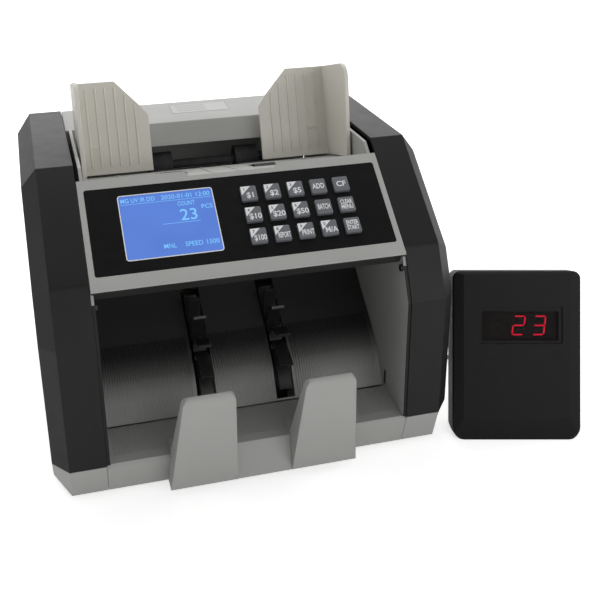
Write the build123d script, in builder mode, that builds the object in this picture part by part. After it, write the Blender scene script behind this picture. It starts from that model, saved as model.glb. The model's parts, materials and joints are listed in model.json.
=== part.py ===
from build123d import *

import os
from math import cos, hypot, pi, radians, sin, tan

os.makedirs("parts", exist_ok=True)

# Banknote counting machine with its external counter display. Millimetres, +Z up, floor at Z = 0.
# The machine's front looks along -Y and its centre plane is X = 0.

# Body envelope
foot_height = 2.5
seam_z = 24.3           # top of the base, where the side covers begin
front_y = -114.7
back_y = 114.5
toe_y = -107.5          # the base's front face is undercut to here at the bottom
inner_x = 92.0          # inner edge of each side cover
face_x = 113.3          # outer edge of the covers' front face
outer_x = 122.6         # outer side of the covers
bevel_inset = 12.0      # how far the covers' outline draws in over the bevel
toe_bevel_y = -84.0     # where the bevel ends on the base's bottom edge
wall = 2.5
seam_gap = 0.1

# Side outline of the body, as (Y, Z) corners
front_top = (-114.5, 104.1)
brow = (-99.1, 134.3)
crest = (-33.6, 180.3)
rear_crest = (96.0, 173.9)
rear_shoulder = (back_y, 148.0)
edge_round = 1.2
brow_round = 6.0

# Control panel, measured along the slope up from the brow
panel_angle = 35.0
panel_half = 91.6
panel_low = -5.0
panel_high = 68.4
panel_thick = 3.0
overlay_half = 88.2
overlay_low = 3.9
overlay_high = 61.6
overlay_depth = 0.6
notch_half = 28.7       # shallow notch in the panel's top edge
notch_floor_half = 26.0
notch_depth = 3.3
lcd_x = (-69.4, -14.5)
lcd_s = (12.1, 55.0)
key_size = (9.6, 10.1)
key_gap = 0.3
key_proud = 2.0
key_first = (6.8, 47.25)
key_pitch = (14.25, 14.7)
key_columns = 5
key_rows = 3
board_w = (-10.4, -8.8)

# Hopper
bed_angle = 17.0
bed_origin = (-29.5, 165.5)
bed_u = (-11.5, 54.0)
bed_half = 86.8
cheek_x = (87.4, 89.4)
guide_face_x = 83.5
guide_thick = 2.5
guide_top = 61.3
guide_back = 61.6
guide_lift = 0.9        # clear of the bed's ribs
wing_thick = 2.2
wing_ribs = 6
guide_travel = 28.0
top_cover_z = 173.3
hopper_back_foot = (47.5, 158.5)
hopper_back_head = (52.5, top_cover_z)
top_cover_crest = 97.0
top_cover_end = (108.0, 157.7)
top_cover_half = 91.5

# Rack and pinion that ties the two note guides together
gear_module = 1.0
pinion_teeth = 16
pinion_radius = gear_module * pinion_teeth / 2
pinion_y = 70.0
rack_z = (160.0, 166.0)

# Feed path: shafts run along X
ring_x = 30.0
drum_radius = 24.0
pickup_radius = 14.0
retard_radius = 9.0
retard_lean = 55.0
wheel_x = 25.0
wheel_radius = 38.0
wheel_width = 8.0
wheel_fins = 12
wheel_yz = (-41.5, 47.5)
motor_yz = (40.0, 50.0)
motor_radius = 20.0
chassis_x = (93.0, 94.5)
chassis_inset = 14.0
liner_x = (90.2, 91.9)
running_clearance = 0.06
pulley_x = (97.0, 103.0)

# Stacker pocket
stacker_floor_y = -77.3
arm_base_x = (16.6, 57.0)
arm_top_x = (20.3, 49.5)
arm_top_z = 76.7
arm_outline_z = (4.0, 77.5)
arm_foot = (-121.3, 5.0)
arm_edge_round = 2.5
arm_gap = 0.05
sill_chamfer = 2.2      # along the base's front edge, under the notes

# Rear
panel_split_z = 79.5
hinge_yz = (112.8, 82.5)
rear_half = 89.9
inlet_xz = (-52.0, 50.0)
switch_xz = (-15.0, 50.0)
switch_pivot_y = 111.0
grommet_xz = (70.0, 13.0)
knob_radius = 5.5
knob_height = 3.5
knob_place = 0.6        # how far down the rear cover's slope it sits

# External display: it stands beside the machine, turned and leaning back
display_origin = (164.1, -125.9, 0.0)
display_yaw = 15.6
display_lean = 23.8
display_width = 82.0
display_height = 108.5
display_depth = 22.0
display_split = -10.0
stand_angle = 35.0
stand_hinge_h = 70.0
stand_hinge_w = -25.0
stand_half = 17.0

# Display cord
cord_radius = 1.5
coil_centre = (52.0, 150.0)
coil_mid_radius = 17.0
coil_width = 9.0
coil_height = 6.0
cord_total = 1000.0

panel = Plane(
    origin=(0, *brow),
    x_dir=(1, 0, 0),
    z_dir=(0, -sin(radians(panel_angle)), cos(radians(panel_angle))),
)
bed = Plane(
    origin=(0, *bed_origin),
    x_dir=(1, 0, 0),
    z_dir=(0, sin(radians(bed_angle)), cos(radians(bed_angle))),
)
display_x_dir = (cos(radians(display_yaw)), -sin(radians(display_yaw)), 0)
display_out = (
    -sin(radians(display_yaw)) * cos(radians(display_lean)),
    -cos(radians(display_yaw)) * cos(radians(display_lean)),
    sin(radians(display_lean)),
)
display = Plane(origin=display_origin, x_dir=display_x_dir, z_dir=display_out)


def save(builder, name):
    builder.part.label = name
    export_step(builder.part, f"parts/{name}.step")


def bed_point(u, w):
    """(Y, Z) of a point u along the hopper bed and w above it."""
    y = bed_origin[0] + u * cos(radians(bed_angle)) + w * sin(radians(bed_angle))
    z = bed_origin[1] - u * sin(radians(bed_angle)) + w * cos(radians(bed_angle))
    return y, z


drum_yz = bed_point(66.0, -drum_radius)
pickup_yz = bed_point(28.0, 1.0 - pickup_radius)
retard_reach = drum_radius + retard_radius + 0.3
retard_yz = (
    drum_yz[0] + retard_reach * sin(radians(retard_lean)),
    drum_yz[1] + retard_reach * cos(radians(retard_lean)),
)


def body_section(x, inset, bottom=seam_z, clip=None):
    """Side outline of the body at one X, drawn in by inset, with a level bottom edge.

    The clip polygon, if given, keeps only what lies inside it."""
    with BuildSketch(Plane.YZ.offset(x)) as section:
        with BuildLine():
            Polyline(
                (front_y, bottom - inset),
                front_top,
                brow,
                crest,
                rear_crest,
                rear_shoulder,
                (back_y, bottom - inset),
                close=True,
            )
        make_face()
        if inset > 0:
            offset(amount=-inset, kind=Kind.INTERSECTION)
        upper = section.vertices().sort_by(Axis.Y)[2:]
        brow_corner = upper.sort_by_distance(Vector(*brow))[0]
        fillet(brow_corner, radius=brow_round)
        plain = section.vertices().filter_by(lambda v: v.Y > front_top[1] - 20)
        corners = [v for v in plain if (Vector(v.X, v.Y) - Vector(*brow)).length > 20]
        fillet(corners, radius=edge_round)
        if clip:
            Polygon(*clip, align=None, mode=Mode.INTERSECT)
    return section.sketch


def tube(x0, x1, yz, radius, mode=Mode.ADD):
    """Cylinder along X between two X positions."""
    with BuildSketch(Plane.YZ.offset(x0)) as disc:
        with Locations(yz):
            Circle(radius)
    extrude(disc.sketch, amount=x1 - x0, mode=mode)


def block(x, y, z, mode=Mode.ADD):
    """Box between pairs of X, Y and Z limits."""
    with Locations(((x[0] + x[1]) / 2, (y[0] + y[1]) / 2, (z[0] + z[1]) / 2)):
        Box(x[1] - x[0], y[1] - y[0], z[1] - z[0], mode=mode)


def strip(points, thickness, x0, x1):
    """Folded sheet: a polyline in the YZ plane thickened to its right side and run along X."""
    with BuildSketch(Plane.YZ.offset(x0)) as fold:
        with BuildLine():
            Polyline(*points)
            offset(amount=thickness, side=Side.RIGHT)
        make_face()
    extrude(fold.sketch, amount=x1 - x0)


def save_mirrored(builder, name):
    """Save the mirror image of a part made on the +X side."""
    with BuildPart() as twin:
        mirror(builder.part, about=Plane.YZ)
    save(twin, name)


# Side covers: hollow mouldings with a bevel all round their outer face
bevel_slope = bevel_inset / (outer_x - face_x)
bevel_wall = wall * hypot(1, bevel_slope)
cavity_x = face_x - (bevel_wall - wall) / bevel_slope
cavity_inset = bevel_wall + bevel_slope * (outer_x - wall - face_x)

with BuildPart() as side_cover_right:
    extrude(body_section(inner_x, 0), amount=face_x - inner_x)
    loft([body_section(face_x, 0), body_section(outer_x, bevel_inset)], ruled=True)
    extrude(
        body_section(inner_x, wall, seam_z - wall),
        amount=cavity_x - inner_x,
        mode=Mode.SUBTRACT,
    )
    loft(
        [
            body_section(cavity_x, wall, seam_z - wall),
            body_section(outer_x - wall, cavity_inset, seam_z - wall),
        ],
        ruled=True,
        mode=Mode.SUBTRACT,
    )
save(side_cover_right, "side_cover_right")
save_mirrored(side_cover_right, "side_cover_left")


# Base: an open pan with the stacker floor over its front, and an end cap under each side cover
pan_half = inner_x - seam_gap
pan_floor = foot_height + wall
board_posts = [(-70, 30), (-20, 30), (-70, 95), (-20, 95), (10, 75), (70, 75), (10, 105), (70, 105)]

undercut = (toe_y - front_y) / (seam_z - foot_height)
sill = (front_y + undercut * sill_chamfer, seam_z - sill_chamfer)
arm_spread = (arm_top_x[0] - arm_base_x[0]) / (arm_outline_z[1] - arm_outline_z[0])
lip_low = arm_base_x[0] - arm_gap
lip_high = lip_low + arm_spread * (seam_z - arm_outline_z[0])

# Sloping lip that joins the two stacker arms along the base's front
with BuildPart() as arm_lip:
    with BuildSketch(Plane.YZ):
        lip_corners = Polygon(
            sill,
            arm_foot,
            (arm_foot[0] + 1.5, arm_outline_z[0]),
            (toe_y + 0.5, arm_outline_z[0]),
            (front_y + 1.8, seam_z - 3.2),
            align=None,
        )
        fillet(lip_corners.vertices().sort_by(Axis.X)[0], radius=1.2)
    extrude(amount=lip_high + 1, both=True)
    with BuildSketch(Plane.XZ.offset(90)):
        Polygon(
            (-lip_low, arm_outline_z[0]),
            (lip_low, arm_outline_z[0]),
            (lip_high, seam_z),
            (-lip_high, seam_z),
            align=None,
        )
    extrude(amount=60, mode=Mode.INTERSECT)

with BuildPart() as base_tray:
    with BuildSketch(Plane.YZ):
        Polygon(
            (toe_y, foot_height),
            sill,
            (front_y + sill_chamfer, seam_z),
            (back_y, seam_z),
            (back_y, foot_height),
            align=None,
        )
    extrude(amount=pan_half, both=True)
    add(arm_lip.part)
    with BuildSketch(Plane.YZ):
        Polygon(
            (toe_y + wall, pan_floor),
            (front_y + 1.4 * wall, seam_z - wall),
            (stacker_floor_y, seam_z - wall),
            (stacker_floor_y, seam_z + 1),
            (back_y - wall, seam_z + 1),
            (back_y - wall, pan_floor),
            align=None,
        )
    extrude(amount=pan_half - wall, both=True, mode=Mode.SUBTRACT)
    with BuildSketch(Plane.XY.offset(pan_floor)):
        with Locations(*board_posts):
            Circle(3.0)
    extrude(amount=7.0)
    with BuildSketch(Plane.XZ.offset(-back_y - 1)):
        with Locations(grommet_xz):
            Circle(4.0)
    extrude(amount=wall + 2, mode=Mode.SUBTRACT)
save(base_tray, "base_tray")


def end_outline(z, front, bevel_end, inset):
    """Plan outline of a base end cap at one height."""
    with BuildSketch(Plane.XY.offset(z)) as outline:
        Polygon(
            (inner_x + seam_gap, front + inset),
            (face_x - 0.4 * inset, front + inset),
            (outer_x - inset, bevel_end + 0.8 * inset),
            (outer_x - inset, back_y - bevel_inset - 0.4 * inset),
            (face_x - 0.4 * inset, back_y - inset),
            (inner_x + seam_gap, back_y - inset),
            align=None,
        )
    return outline.sketch


with BuildPart() as base_end_right:
    loft(
        [
            end_outline(foot_height, toe_y, toe_bevel_y, 0),
            end_outline(seam_z - 0.2, front_y, front_y + bevel_inset, 0),
        ],
        ruled=True,
    )
    loft(
        [
            end_outline(pan_floor, toe_y - 0.6, toe_bevel_y, wall),
            end_outline(seam_z, front_y, front_y + bevel_inset, wall),
        ],
        ruled=True,
        mode=Mode.SUBTRACT,
    )
save(base_end_right, "base_end_right")
save_mirrored(base_end_right, "base_end_left")

# Rubber feet
with BuildPart() as rubber_feet:
    with BuildSketch():
        with Locations((-104, -74), (104, -74), (-104, 94), (104, 94)):
            Circle(8.0)
    extrude(amount=foot_height)
    chamfer(rubber_feet.edges().group_by(Axis.Z)[0], length=0.8)
save(rubber_feet, "rubber_feet")

# Steel side plates that carry the shafts
with BuildPart() as chassis_right:
    extrude(
        body_section(chassis_x[0], chassis_inset, pan_floor + 0.2),
        amount=chassis_x[1] - chassis_x[0],
    )
    for yz, hole in (
        (drum_yz, 4.0 + running_clearance),
        (pickup_yz, 3.0 + running_clearance),
        (wheel_yz, 3.0 + running_clearance),
        (retard_yz, 3.0),
    ):
        tube(chassis_x[0] - 1, chassis_x[1] + 1, yz, hole, mode=Mode.SUBTRACT)
save_mirrored(chassis_right, "chassis_plate_left")

with BuildPart() as chassis_plate_right:
    add(chassis_right.part)
    tube(chassis_x[0] - 1, chassis_x[1] + 1, motor_yz, 4.0, mode=Mode.SUBTRACT)
save(chassis_plate_right, "chassis_plate_right")

# Inner walls: the plastic lining of the stacker pocket, stepped in to form the hopper's cheek
liner_low_top = 150.0
cheek_low = 141.0
cheek_back = hopper_back_foot[0] - 0.5
liner_low = [
    (-120, seam_z),
    (-120, 129.4),
    (-101.2, 129.4),
    (-96.3, 130.4),
    (-45, 166.6),
    (-40, liner_low_top),
    (back_y, liner_low_top),
    (back_y, seam_z),
]
cheek_high = [
    (-41.5, cheek_low),
    (-41.5, 190),
    (57.6, 190),
    (cheek_back, hopper_back_foot[1]),
    (cheek_back, cheek_low),
]

with BuildPart() as liner_right:
    extrude(
        body_section(liner_x[0], 1.0, seam_z + 0.1, clip=liner_low),
        amount=liner_x[1] - liner_x[0],
    )
    block(liner_x, (back_y - 6, back_y - 0.1), (panel_split_z - 4, hinge_yz[1] + 8))
    extrude(
        body_section(cheek_x[0], 2.2, clip=cheek_high),
        amount=cheek_x[1] - cheek_x[0],
    )
    block(
        (cheek_x[0], liner_x[1]),
        (-38, cheek_back),
        (cheek_low, cheek_low + 2),
    )
    for yz, hole in ((drum_yz, 6.0), (pickup_yz, 5.0), (wheel_yz, 5.0), (retard_yz, 4.0)):
        tube(cheek_x[0] - 1, liner_x[1] + 1, yz, hole, mode=Mode.SUBTRACT)
    tube(liner_x[0] - 1, liner_x[1] + 1, hinge_yz, 2.0 + running_clearance, mode=Mode.SUBTRACT)
    tube(liner_x[0] - 1, liner_x[1] + 1, (-101.0, 121.5), 1.3, mode=Mode.SUBTRACT)
save_mirrored(liner_right, "inner_wall_left")

with BuildPart() as inner_wall_right:
    add(liner_right.part)
    tube(
        cheek_x[0] - 1, liner_x[1] + 1, motor_yz, motor_radius + 0.5, mode=Mode.SUBTRACT
    )
save(inner_wall_right, "inner_wall_right")

# Control panel: frame, overlay, display module, key board and keys, all on the sloping plane
key_centres = [
    (key_first[0] + column * key_pitch[0], key_first[1] - row * key_pitch[1])
    for row in range(key_rows)
    for column in range(key_columns)
]
board_posts_panel = [(-2, 4), (70.5, 4), (-2, 56.5), (70.5, 56.5)]
lcd_centre = ((lcd_x[0] + lcd_x[1]) / 2, (lcd_s[0] + lcd_s[1]) / 2)
lcd_size = (lcd_x[1] - lcd_x[0], lcd_s[1] - lcd_s[0])


def key_openings():
    with Locations(*key_centres):
        RectangleRounded(key_size[0] + 2 * key_gap, key_size[1] + 2 * key_gap, 1.2)


with BuildPart() as panel_frame:
    with BuildSketch(panel):
        with Locations((0, (panel_low + panel_high) / 2)):
            Rectangle(2 * panel_half, panel_high - panel_low)
        Polygon(
            (-notch_half, panel_high),
            (-notch_floor_half, panel_high - notch_depth),
            (notch_floor_half, panel_high - notch_depth),
            (notch_half, panel_high),
            align=None,
            mode=Mode.SUBTRACT,
        )
    extrude(amount=-panel_thick)
    lip = panel_frame.edges().filter_by(Axis.X).sort_by(Axis.Y)[:2].sort_by(Axis.Z)[-1]
    fillet(lip, radius=1.4)
    with BuildSketch(panel.offset(-panel_thick)):
        with Locations((0, panel_low + 2.4)):
            Rectangle(2 * panel_half - 3.2, 2.4)
    extrude(amount=-8.0)
    with BuildSketch(panel.offset(-overlay_depth)):
        with Locations((0, (overlay_low + overlay_high) / 2)):
            RectangleRounded(2 * overlay_half, overlay_high - overlay_low, 1.5)
    extrude(amount=overlay_depth + 1, mode=Mode.SUBTRACT)
    with BuildSketch(panel.offset(-panel_thick - 1)):
        with Locations(lcd_centre):
            RectangleRounded(lcd_size[0] + 0.2, lcd_size[1] + 0.2, 1.6)
        key_openings()
    extrude(amount=panel_thick + 2, mode=Mode.SUBTRACT)
    with BuildSketch(panel.offset(-panel_thick)):
        with Locations(*board_posts_panel):
            Circle(2.2)
    extrude(amount=board_w[1] + panel_thick)
save(panel_frame, "panel_frame")

with BuildPart() as panel_overlay:
    with BuildSketch(panel.offset(-overlay_depth)):
        with Locations((0, (overlay_low + overlay_high) / 2)):
            RectangleRounded(2 * overlay_half - 0.2, overlay_high - overlay_low - 0.2, 1.5)
        with Locations(lcd_centre):
            RectangleRounded(lcd_size[0] + 0.2, lcd_size[1] + 0.2, 1.6, mode=Mode.SUBTRACT)
        with Locations(*key_centres):
            RectangleRounded(
                key_size[0] + 2 * key_gap, key_size[1] + 2 * key_gap, 1.2, mode=Mode.SUBTRACT
            )
    extrude(amount=overlay_depth)
save(panel_overlay, "panel_overlay")

with BuildPart() as lcd_module:
    with BuildSketch(panel.offset(-panel_thick - 6)):
        with Locations(lcd_centre):
            Rectangle(lcd_size[0] + 6, lcd_size[1] + 3.4)
    extrude(amount=5.9)
    with BuildSketch(panel.offset(-panel_thick - 1)):
        with Locations(lcd_centre):
            RectangleRounded(lcd_size[0], lcd_size[1], 1.5)
    extrude(amount=panel_thick + 0.6)
save(lcd_module, "lcd_module")

with BuildPart() as keypad_board:
    with BuildSketch(panel.offset(board_w[0])):
        with Locations((34.6, 30.2)):
            Rectangle(82, 58)
    extrude(amount=board_w[1] - board_w[0])
save(keypad_board, "keypad_board")

for number, centre in enumerate(key_centres):
    with BuildPart() as key:
        with BuildSketch(panel.offset(-panel_thick - 0.1)):
            with Locations(centre):
                RectangleRounded(*key_size, 0.9)
        extrude(amount=panel_thick + 0.1 + key_proud)
        fillet(key.faces().sort_by(Axis(panel.origin, panel.z_dir))[-1].edges(), radius=0.5)
        with BuildSketch(panel.offset(-panel_thick - 1.6)):
            with Locations(centre):
                Rectangle(key_size[0] + 1.8, key_size[1] + 1.8)
        extrude(amount=1.5)
        with BuildSketch(panel.offset(-panel_thick - 4.4)):
            with Locations(centre):
                Circle(1.8)
        extrude(amount=3.0)
    row, column = divmod(number, key_columns)
    save(key, f"key_{row + 1}_{column + 1}")

# Hopper bed, with windows over the pickup rings
with BuildPart() as hopper_bed:
    with BuildSketch(bed.offset(-2.0)):
        with Locations((0, (bed_u[0] + bed_u[1]) / 2)):
            Rectangle(2 * bed_half + 1, bed_u[1] - bed_u[0])
        with Locations((-ring_x, 28.0), (ring_x, 28.0)):
            Rectangle(18, 24, mode=Mode.SUBTRACT)
    extrude(amount=2.0)
    with BuildSketch(bed.offset(-8.0)):
        with Locations((-bed_half + 1, 20), (bed_half - 1, 20)):
            Rectangle(2.0, 40)
    extrude(amount=6.0)
    with BuildSketch(bed):
        with Locations((-62, 22), (-8, 22), (8, 22), (62, 22)):
            Rectangle(1.6, 56)
    extrude(amount=0.5)
save(hopper_bed, "hopper_bed")

# Note guides: a side plate and a rear wing in one moulding, with an arm back to its rack
guide_outer = guide_face_x + guide_thick
arm_x = (guide_face_x - 13.5, guide_face_x - 5.5)
rack_pitch = gear_module * pi
rack_half = 2.4
tooth_backlash = 0.22


def wing_outline():
    Polygon(
        (guide_outer, 1.0),
        (guide_outer, guide_top),
        (58.0, guide_top),
        (42.0, guide_top - 17.5),
        (37.5, guide_top - 23.5),
        (37.5, 1.0),
        align=None,
    )


def rack(side, first_x, last_x):
    """Toothed bar on the side = -1 (front) or +1 (rear) flank of the pinion."""
    pitch_y = pinion_y + side * pinion_radius
    flank = tan(radians(20.0))
    tip = gear_module * 0.85
    root = gear_module * 1.15
    count = int((last_x - first_x) / rack_pitch)
    with BuildSketch(Plane.XY.offset(rack_z[0])) as profile:
        with Locations(((first_x + last_x) / 2, pitch_y + side * (root + rack_half))):
            Rectangle(last_x - first_x, 2 * rack_half)
        for number in range(count):
            middle = (number + 0.5) * rack_pitch
            middle += rack_pitch * round(first_x / rack_pitch + 0.5)
            wide = rack_pitch / 4 - tooth_backlash + root * flank
            thin = rack_pitch / 4 - tooth_backlash - tip * flank
            if first_x + wide < middle < last_x - wide:
                Polygon(
                    (middle - wide, pitch_y + side * (root + 0.1)),
                    (middle - thin, pitch_y - side * tip),
                    (middle + thin, pitch_y - side * tip),
                    (middle + wide, pitch_y + side * (root + 0.1)),
                    align=None,
                )
    extrude(profile.sketch, amount=rack_z[1] - rack_z[0])


def guide_moulding():
    with BuildSketch(Plane(origin=bed.from_local_coords((guide_face_x, 0, 0)),
                           x_dir=bed.y_dir, z_dir=(1, 0, 0))) as side_plate:
        Polygon(
            (16.7, guide_lift),
            (8.2, guide_top),
            (guide_back + wing_thick, guide_top),
            (guide_back + wing_thick, guide_lift),
            align=None,
        )
        front_corner = side_plate.vertices().sort_by_distance(Vector(8.2, guide_top))[0]
        fillet(front_corner, radius=10.0)
    extrude(side_plate.sketch, amount=guide_thick)
    wing_plane = Plane(
        origin=bed.from_local_coords((0, guide_back, 0)), x_dir=(1, 0, 0), z_dir=-bed.y_dir
    )
    with BuildSketch(wing_plane) as wing:
        wing_outline()
        chamfered = wing.vertices().sort_by_distance(Vector(37.5, guide_top - 23.5))[0]
        fillet(chamfered, radius=5.0)
    extrude(wing.sketch, amount=-wing_thick)
    for number in range(wing_ribs):
        rib_x = 46.0 + number * 6.2
        rib_top = min(guide_top - 4.0, guide_top - 17.5 + (rib_x - 42.0) * 1.09 - 3.0)
        with BuildSketch(wing_plane) as rib:
            with Locations((rib_x, (6.0 + rib_top) / 2)):
                Rectangle(0.8, rib_top - 6.0)
        extrude(rib.sketch, amount=0.9)


with BuildPart() as guide_right_flat:
    guide_moulding()

with BuildPart() as note_guide_left:
    mirror(guide_right_flat.part, about=Plane.YZ)
    near_y = bed.from_local_coords((0, guide_back + 1.0, 14.0)).Y
    block(
        (-arm_x[1], -arm_x[0]),
        (near_y, pinion_y - pinion_radius - gear_module * 1.15 - rack_half),
        rack_z,
    )
    rack(-1, -arm_x[1], 9.0)
save(note_guide_left, "note_guide_left")

with BuildPart() as note_guide_right:
    add(guide_right_flat.part)
    block(
        arm_x,
        (near_y, pinion_y - pinion_radius - gear_module * 1.15 - 2 * rack_half - 0.4),
        rack_z,
    )
    block(arm_x, (near_y, pinion_y + pinion_radius + gear_module * 1.15 + rack_half),
          (rack_z[1] + 0.4, rack_z[1] + 2.4))
    rack(1, -9.0, arm_x[1])
    block(arm_x, (pinion_y + pinion_radius + gear_module * 1.15,
                  pinion_y + pinion_radius + gear_module * 1.15 + 2 * rack_half),
          (rack_z[0], rack_z[1] + 2.4))
save(note_guide_right, "note_guide_right")

# Pinion that couples the two racks
with BuildPart() as guide_pinion:
    with BuildSketch(Plane.XY.offset(rack_z[0])):
        with Locations((0, pinion_y)):
            Circle(pinion_radius - gear_module * 1.1)
            with PolarLocations(0, pinion_teeth, start_angle=90):
                Polygon(
                    (pinion_radius - gear_module * 1.4, -1.05),
                    (pinion_radius, -0.62),
                    (pinion_radius + gear_module * 0.8, -0.28),
                    (pinion_radius + gear_module * 0.8, 0.28),
                    (pinion_radius, 0.62),
                    (pinion_radius - gear_module * 1.4, 1.05),
                    align=None,
                )
            Circle(2.0 + running_clearance, mode=Mode.SUBTRACT)
    extrude(amount=rack_z[1] - rack_z[0])
save(guide_pinion, "guide_pinion")

# Rear top cover: a folded sheet with the pinion's pin under it and a slot for the guides' arms
arm_slot = (arm_x[0] - guide_travel - 1.0, arm_x[1] + 1.0)
slope_run = (top_cover_end[0] - top_cover_crest, top_cover_end[1] - top_cover_z)
slope_out = Vector(0, -slope_run[1], slope_run[0]).normalized()
knob_seat = Vector(
    0, top_cover_crest + knob_place * slope_run[0], top_cover_z + knob_place * slope_run[1]
)
knob_plane = Plane(origin=knob_seat, x_dir=(1, 0, 0), z_dir=slope_out)

with BuildPart() as rear_top_cover:
    strip(
        [hopper_back_foot, hopper_back_head, (top_cover_crest, top_cover_z), top_cover_end],
        wall,
        -top_cover_half,
        top_cover_half,
    )
    ridge = rear_top_cover.edges().filter_by(Axis.X).group_by(Axis.Z)[-1]
    fillet(ridge, radius=1.0)
    for side in (-1, 1):
        limits = sorted((side * arm_slot[0], side * arm_slot[1]))
        block(limits, (44, 54), (rack_z[0] - 0.6, rack_z[1] + 2.9), mode=Mode.SUBTRACT)
    with BuildSketch(Plane.XY.offset(rack_z[0] - 2)):
        with Locations((0, pinion_y)):
            Circle(2.0)
    extrude(amount=top_cover_z - rack_z[0] - 1.0)
    with BuildSketch(Plane.XY.offset(rack_z[1] + 0.3)):
        with Locations((0, pinion_y)):
            Circle(4.0)
    extrude(amount=top_cover_z - wall - rack_z[1] + 0.5)
    with BuildSketch(knob_plane.offset(-6)):
        Circle(3.0 + running_clearance)
    extrude(amount=10, mode=Mode.SUBTRACT)
save(rear_top_cover, "rear_top_cover")

# Feed-gap adjusting knob with fluted grip
with BuildPart() as adjusting_knob:
    with BuildSketch(knob_plane.offset(0.3)):
        Circle(knob_radius)
        with PolarLocations(knob_radius + 0.4, 10):
            Circle(1.0, mode=Mode.SUBTRACT)
    extrude(amount=knob_height)
    with BuildSketch(knob_plane.offset(-9)):
        Circle(3.0)
    extrude(amount=9.5)
save(adjusting_knob, "adjusting_knob")

# Rear door, hinged on two pins at its bottom edge
with BuildPart() as rear_door:
    strip([(108.7, 156.6), rear_shoulder, (back_y, 84.0)], wall, -rear_half + 0.5, rear_half - 0.5)
    tube(-rear_half + 0.5, rear_half - 0.5, hinge_yz, 2.5)
    tube(-liner_x[1] + 0.4, liner_x[1] - 0.4, hinge_yz, 2.0)
    block((-15, 15), (back_y - 0.5, back_y + 3.0), (139, 142))
save(rear_door, "rear_door")

# Rear panel with the inlet's opening, the switch's bezel and cooling slots
bezel_x = (switch_xz[0] - 9.2, switch_xz[0] + 9.2)
bezel_z = (switch_xz[1] - 12.6, switch_xz[1] + 12.6)
switch_pivot = (switch_pivot_y, switch_xz[1])

with BuildPart() as rear_panel:
    block((-rear_half, rear_half), (back_y - wall, back_y), (seam_z + 0.1, panel_split_z))
    block(bezel_x, (switch_pivot_y - 5.5, back_y + 0.8), bezel_z)
    block(
        (switch_xz[0] - 6.8, switch_xz[0] + 6.8),
        (switch_pivot_y - 7, back_y + 2),
        (switch_xz[1] - 10.5, switch_xz[1] + 10.5),
        mode=Mode.SUBTRACT,
    )
    tube(switch_xz[0] - 8.0, switch_xz[0] + 8.0, switch_pivot, 1.2 + running_clearance,
         mode=Mode.SUBTRACT)
    block(
        (inlet_xz[0] - 13.6, inlet_xz[0] + 13.6),
        (back_y - 6, back_y + 2),
        (inlet_xz[1] - 9.6, inlet_xz[1] + 9.6),
        mode=Mode.SUBTRACT,
    )
    with BuildSketch(Plane.XZ.offset(-back_y - 1)):
        with Locations((47, 52)):
            with GridLocations(5.0, 0, 12, 1):
                SlotOverall(30, 2.2, rotation=90)
    extrude(amount=wall + 2, mode=Mode.SUBTRACT)
    with BuildSketch(Plane.XZ.offset(-back_y - 1)):
        with Locations((-84, 31), (84, 31), (-84, 73), (84, 73)):
            Circle(1.5)
    extrude(amount=wall + 2, mode=Mode.SUBTRACT)
save(rear_panel, "rear_panel")

# Rocker switch on two side pins
with BuildPart() as power_switch:
    rocker_plane = Plane(
        origin=(switch_xz[0] - 6.4, *switch_pivot), x_dir=(0, cos(radians(10)), sin(radians(10))),
        z_dir=(1, 0, 0),
    )
    with BuildSketch(rocker_plane):
        Polygon((4.4, 0), (5.4, 8.4), (-3, 8.4), (-3, -8.4), (5.4, -8.4), align=None)
    extrude(amount=12.8)
    tube(switch_xz[0] - 7.8, switch_xz[0] + 7.8, switch_pivot, 1.2)
save(power_switch, "power_switch")

# Three-pin power inlet
inlet_mouth = back_y + 2.0
with BuildPart() as power_inlet:
    block(
        (inlet_xz[0] - 13.5, inlet_xz[0] + 13.5),
        (back_y - 17, back_y + 0.5),
        (inlet_xz[1] - 9.5, inlet_xz[1] + 9.5),
    )
    block(
        (inlet_xz[0] - 16, inlet_xz[0] + 16),
        (back_y + 0.05, inlet_mouth),
        (inlet_xz[1] - 12, inlet_xz[1] + 12),
    )
    socket_edges = power_inlet.edges().filter_by(Axis.Y).sort_by(Axis.Y)[-4:]
    fillet(socket_edges, radius=2.0)
    with BuildSketch(Plane.XZ.offset(-inlet_mouth - 1)) as socket:
        with Locations(inlet_xz):
            Rectangle(24, 16)
        chamfer(socket.vertices().group_by(Axis.Y)[0], length=4.0)
    extrude(amount=17, mode=Mode.SUBTRACT)
    for pin_x, pin_z in ((-6, -1.5), (0, 3.0), (6, -1.5)):
        block(
            (inlet_xz[0] + pin_x - 1, inlet_xz[0] + pin_x + 1),
            (back_y - 15, back_y - 4),
            (inlet_xz[1] + pin_z - 2, inlet_xz[1] + pin_z + 2),
        )
save(power_inlet, "power_inlet")

# Boards inside the pan
with BuildPart() as main_board:
    block((-5, 80), (65, 110), (12.0, 13.6))
    block((10, 30), (74, 94), (13.5, 16.5))
    block((42, 54), (70, 82), (13.5, 15.5))
    block((0, 6), (84, 104), (13.5, 22.0))
    block((58, 76), (88, 106), (13.5, 24.0))
save(main_board, "main_board")

with BuildPart() as power_supply:
    block((-84, -12), (22, 106), (12.0, 13.6))
    block((-70, -38), (34, 62), (13.5, 40.0))
    block((-30, -18), (70, 82), (13.5, 34.0))
    tube(-60, -46, (80, 24), 8.0)
save(power_supply, "power_supply")

# Feed drum, pickup roller and fixed retard roller
with BuildPart() as feed_roller:
    tube(-chassis_x[1], pulley_x[1] + 1, drum_yz, 4.0)
    tube(pulley_x[0], pulley_x[1], drum_yz, 14.0)
    for side in (-1, 1):
        tube(side * ring_x - 9, side * ring_x + 9, drum_yz, drum_radius)
save(feed_roller, "feed_roller")

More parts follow.
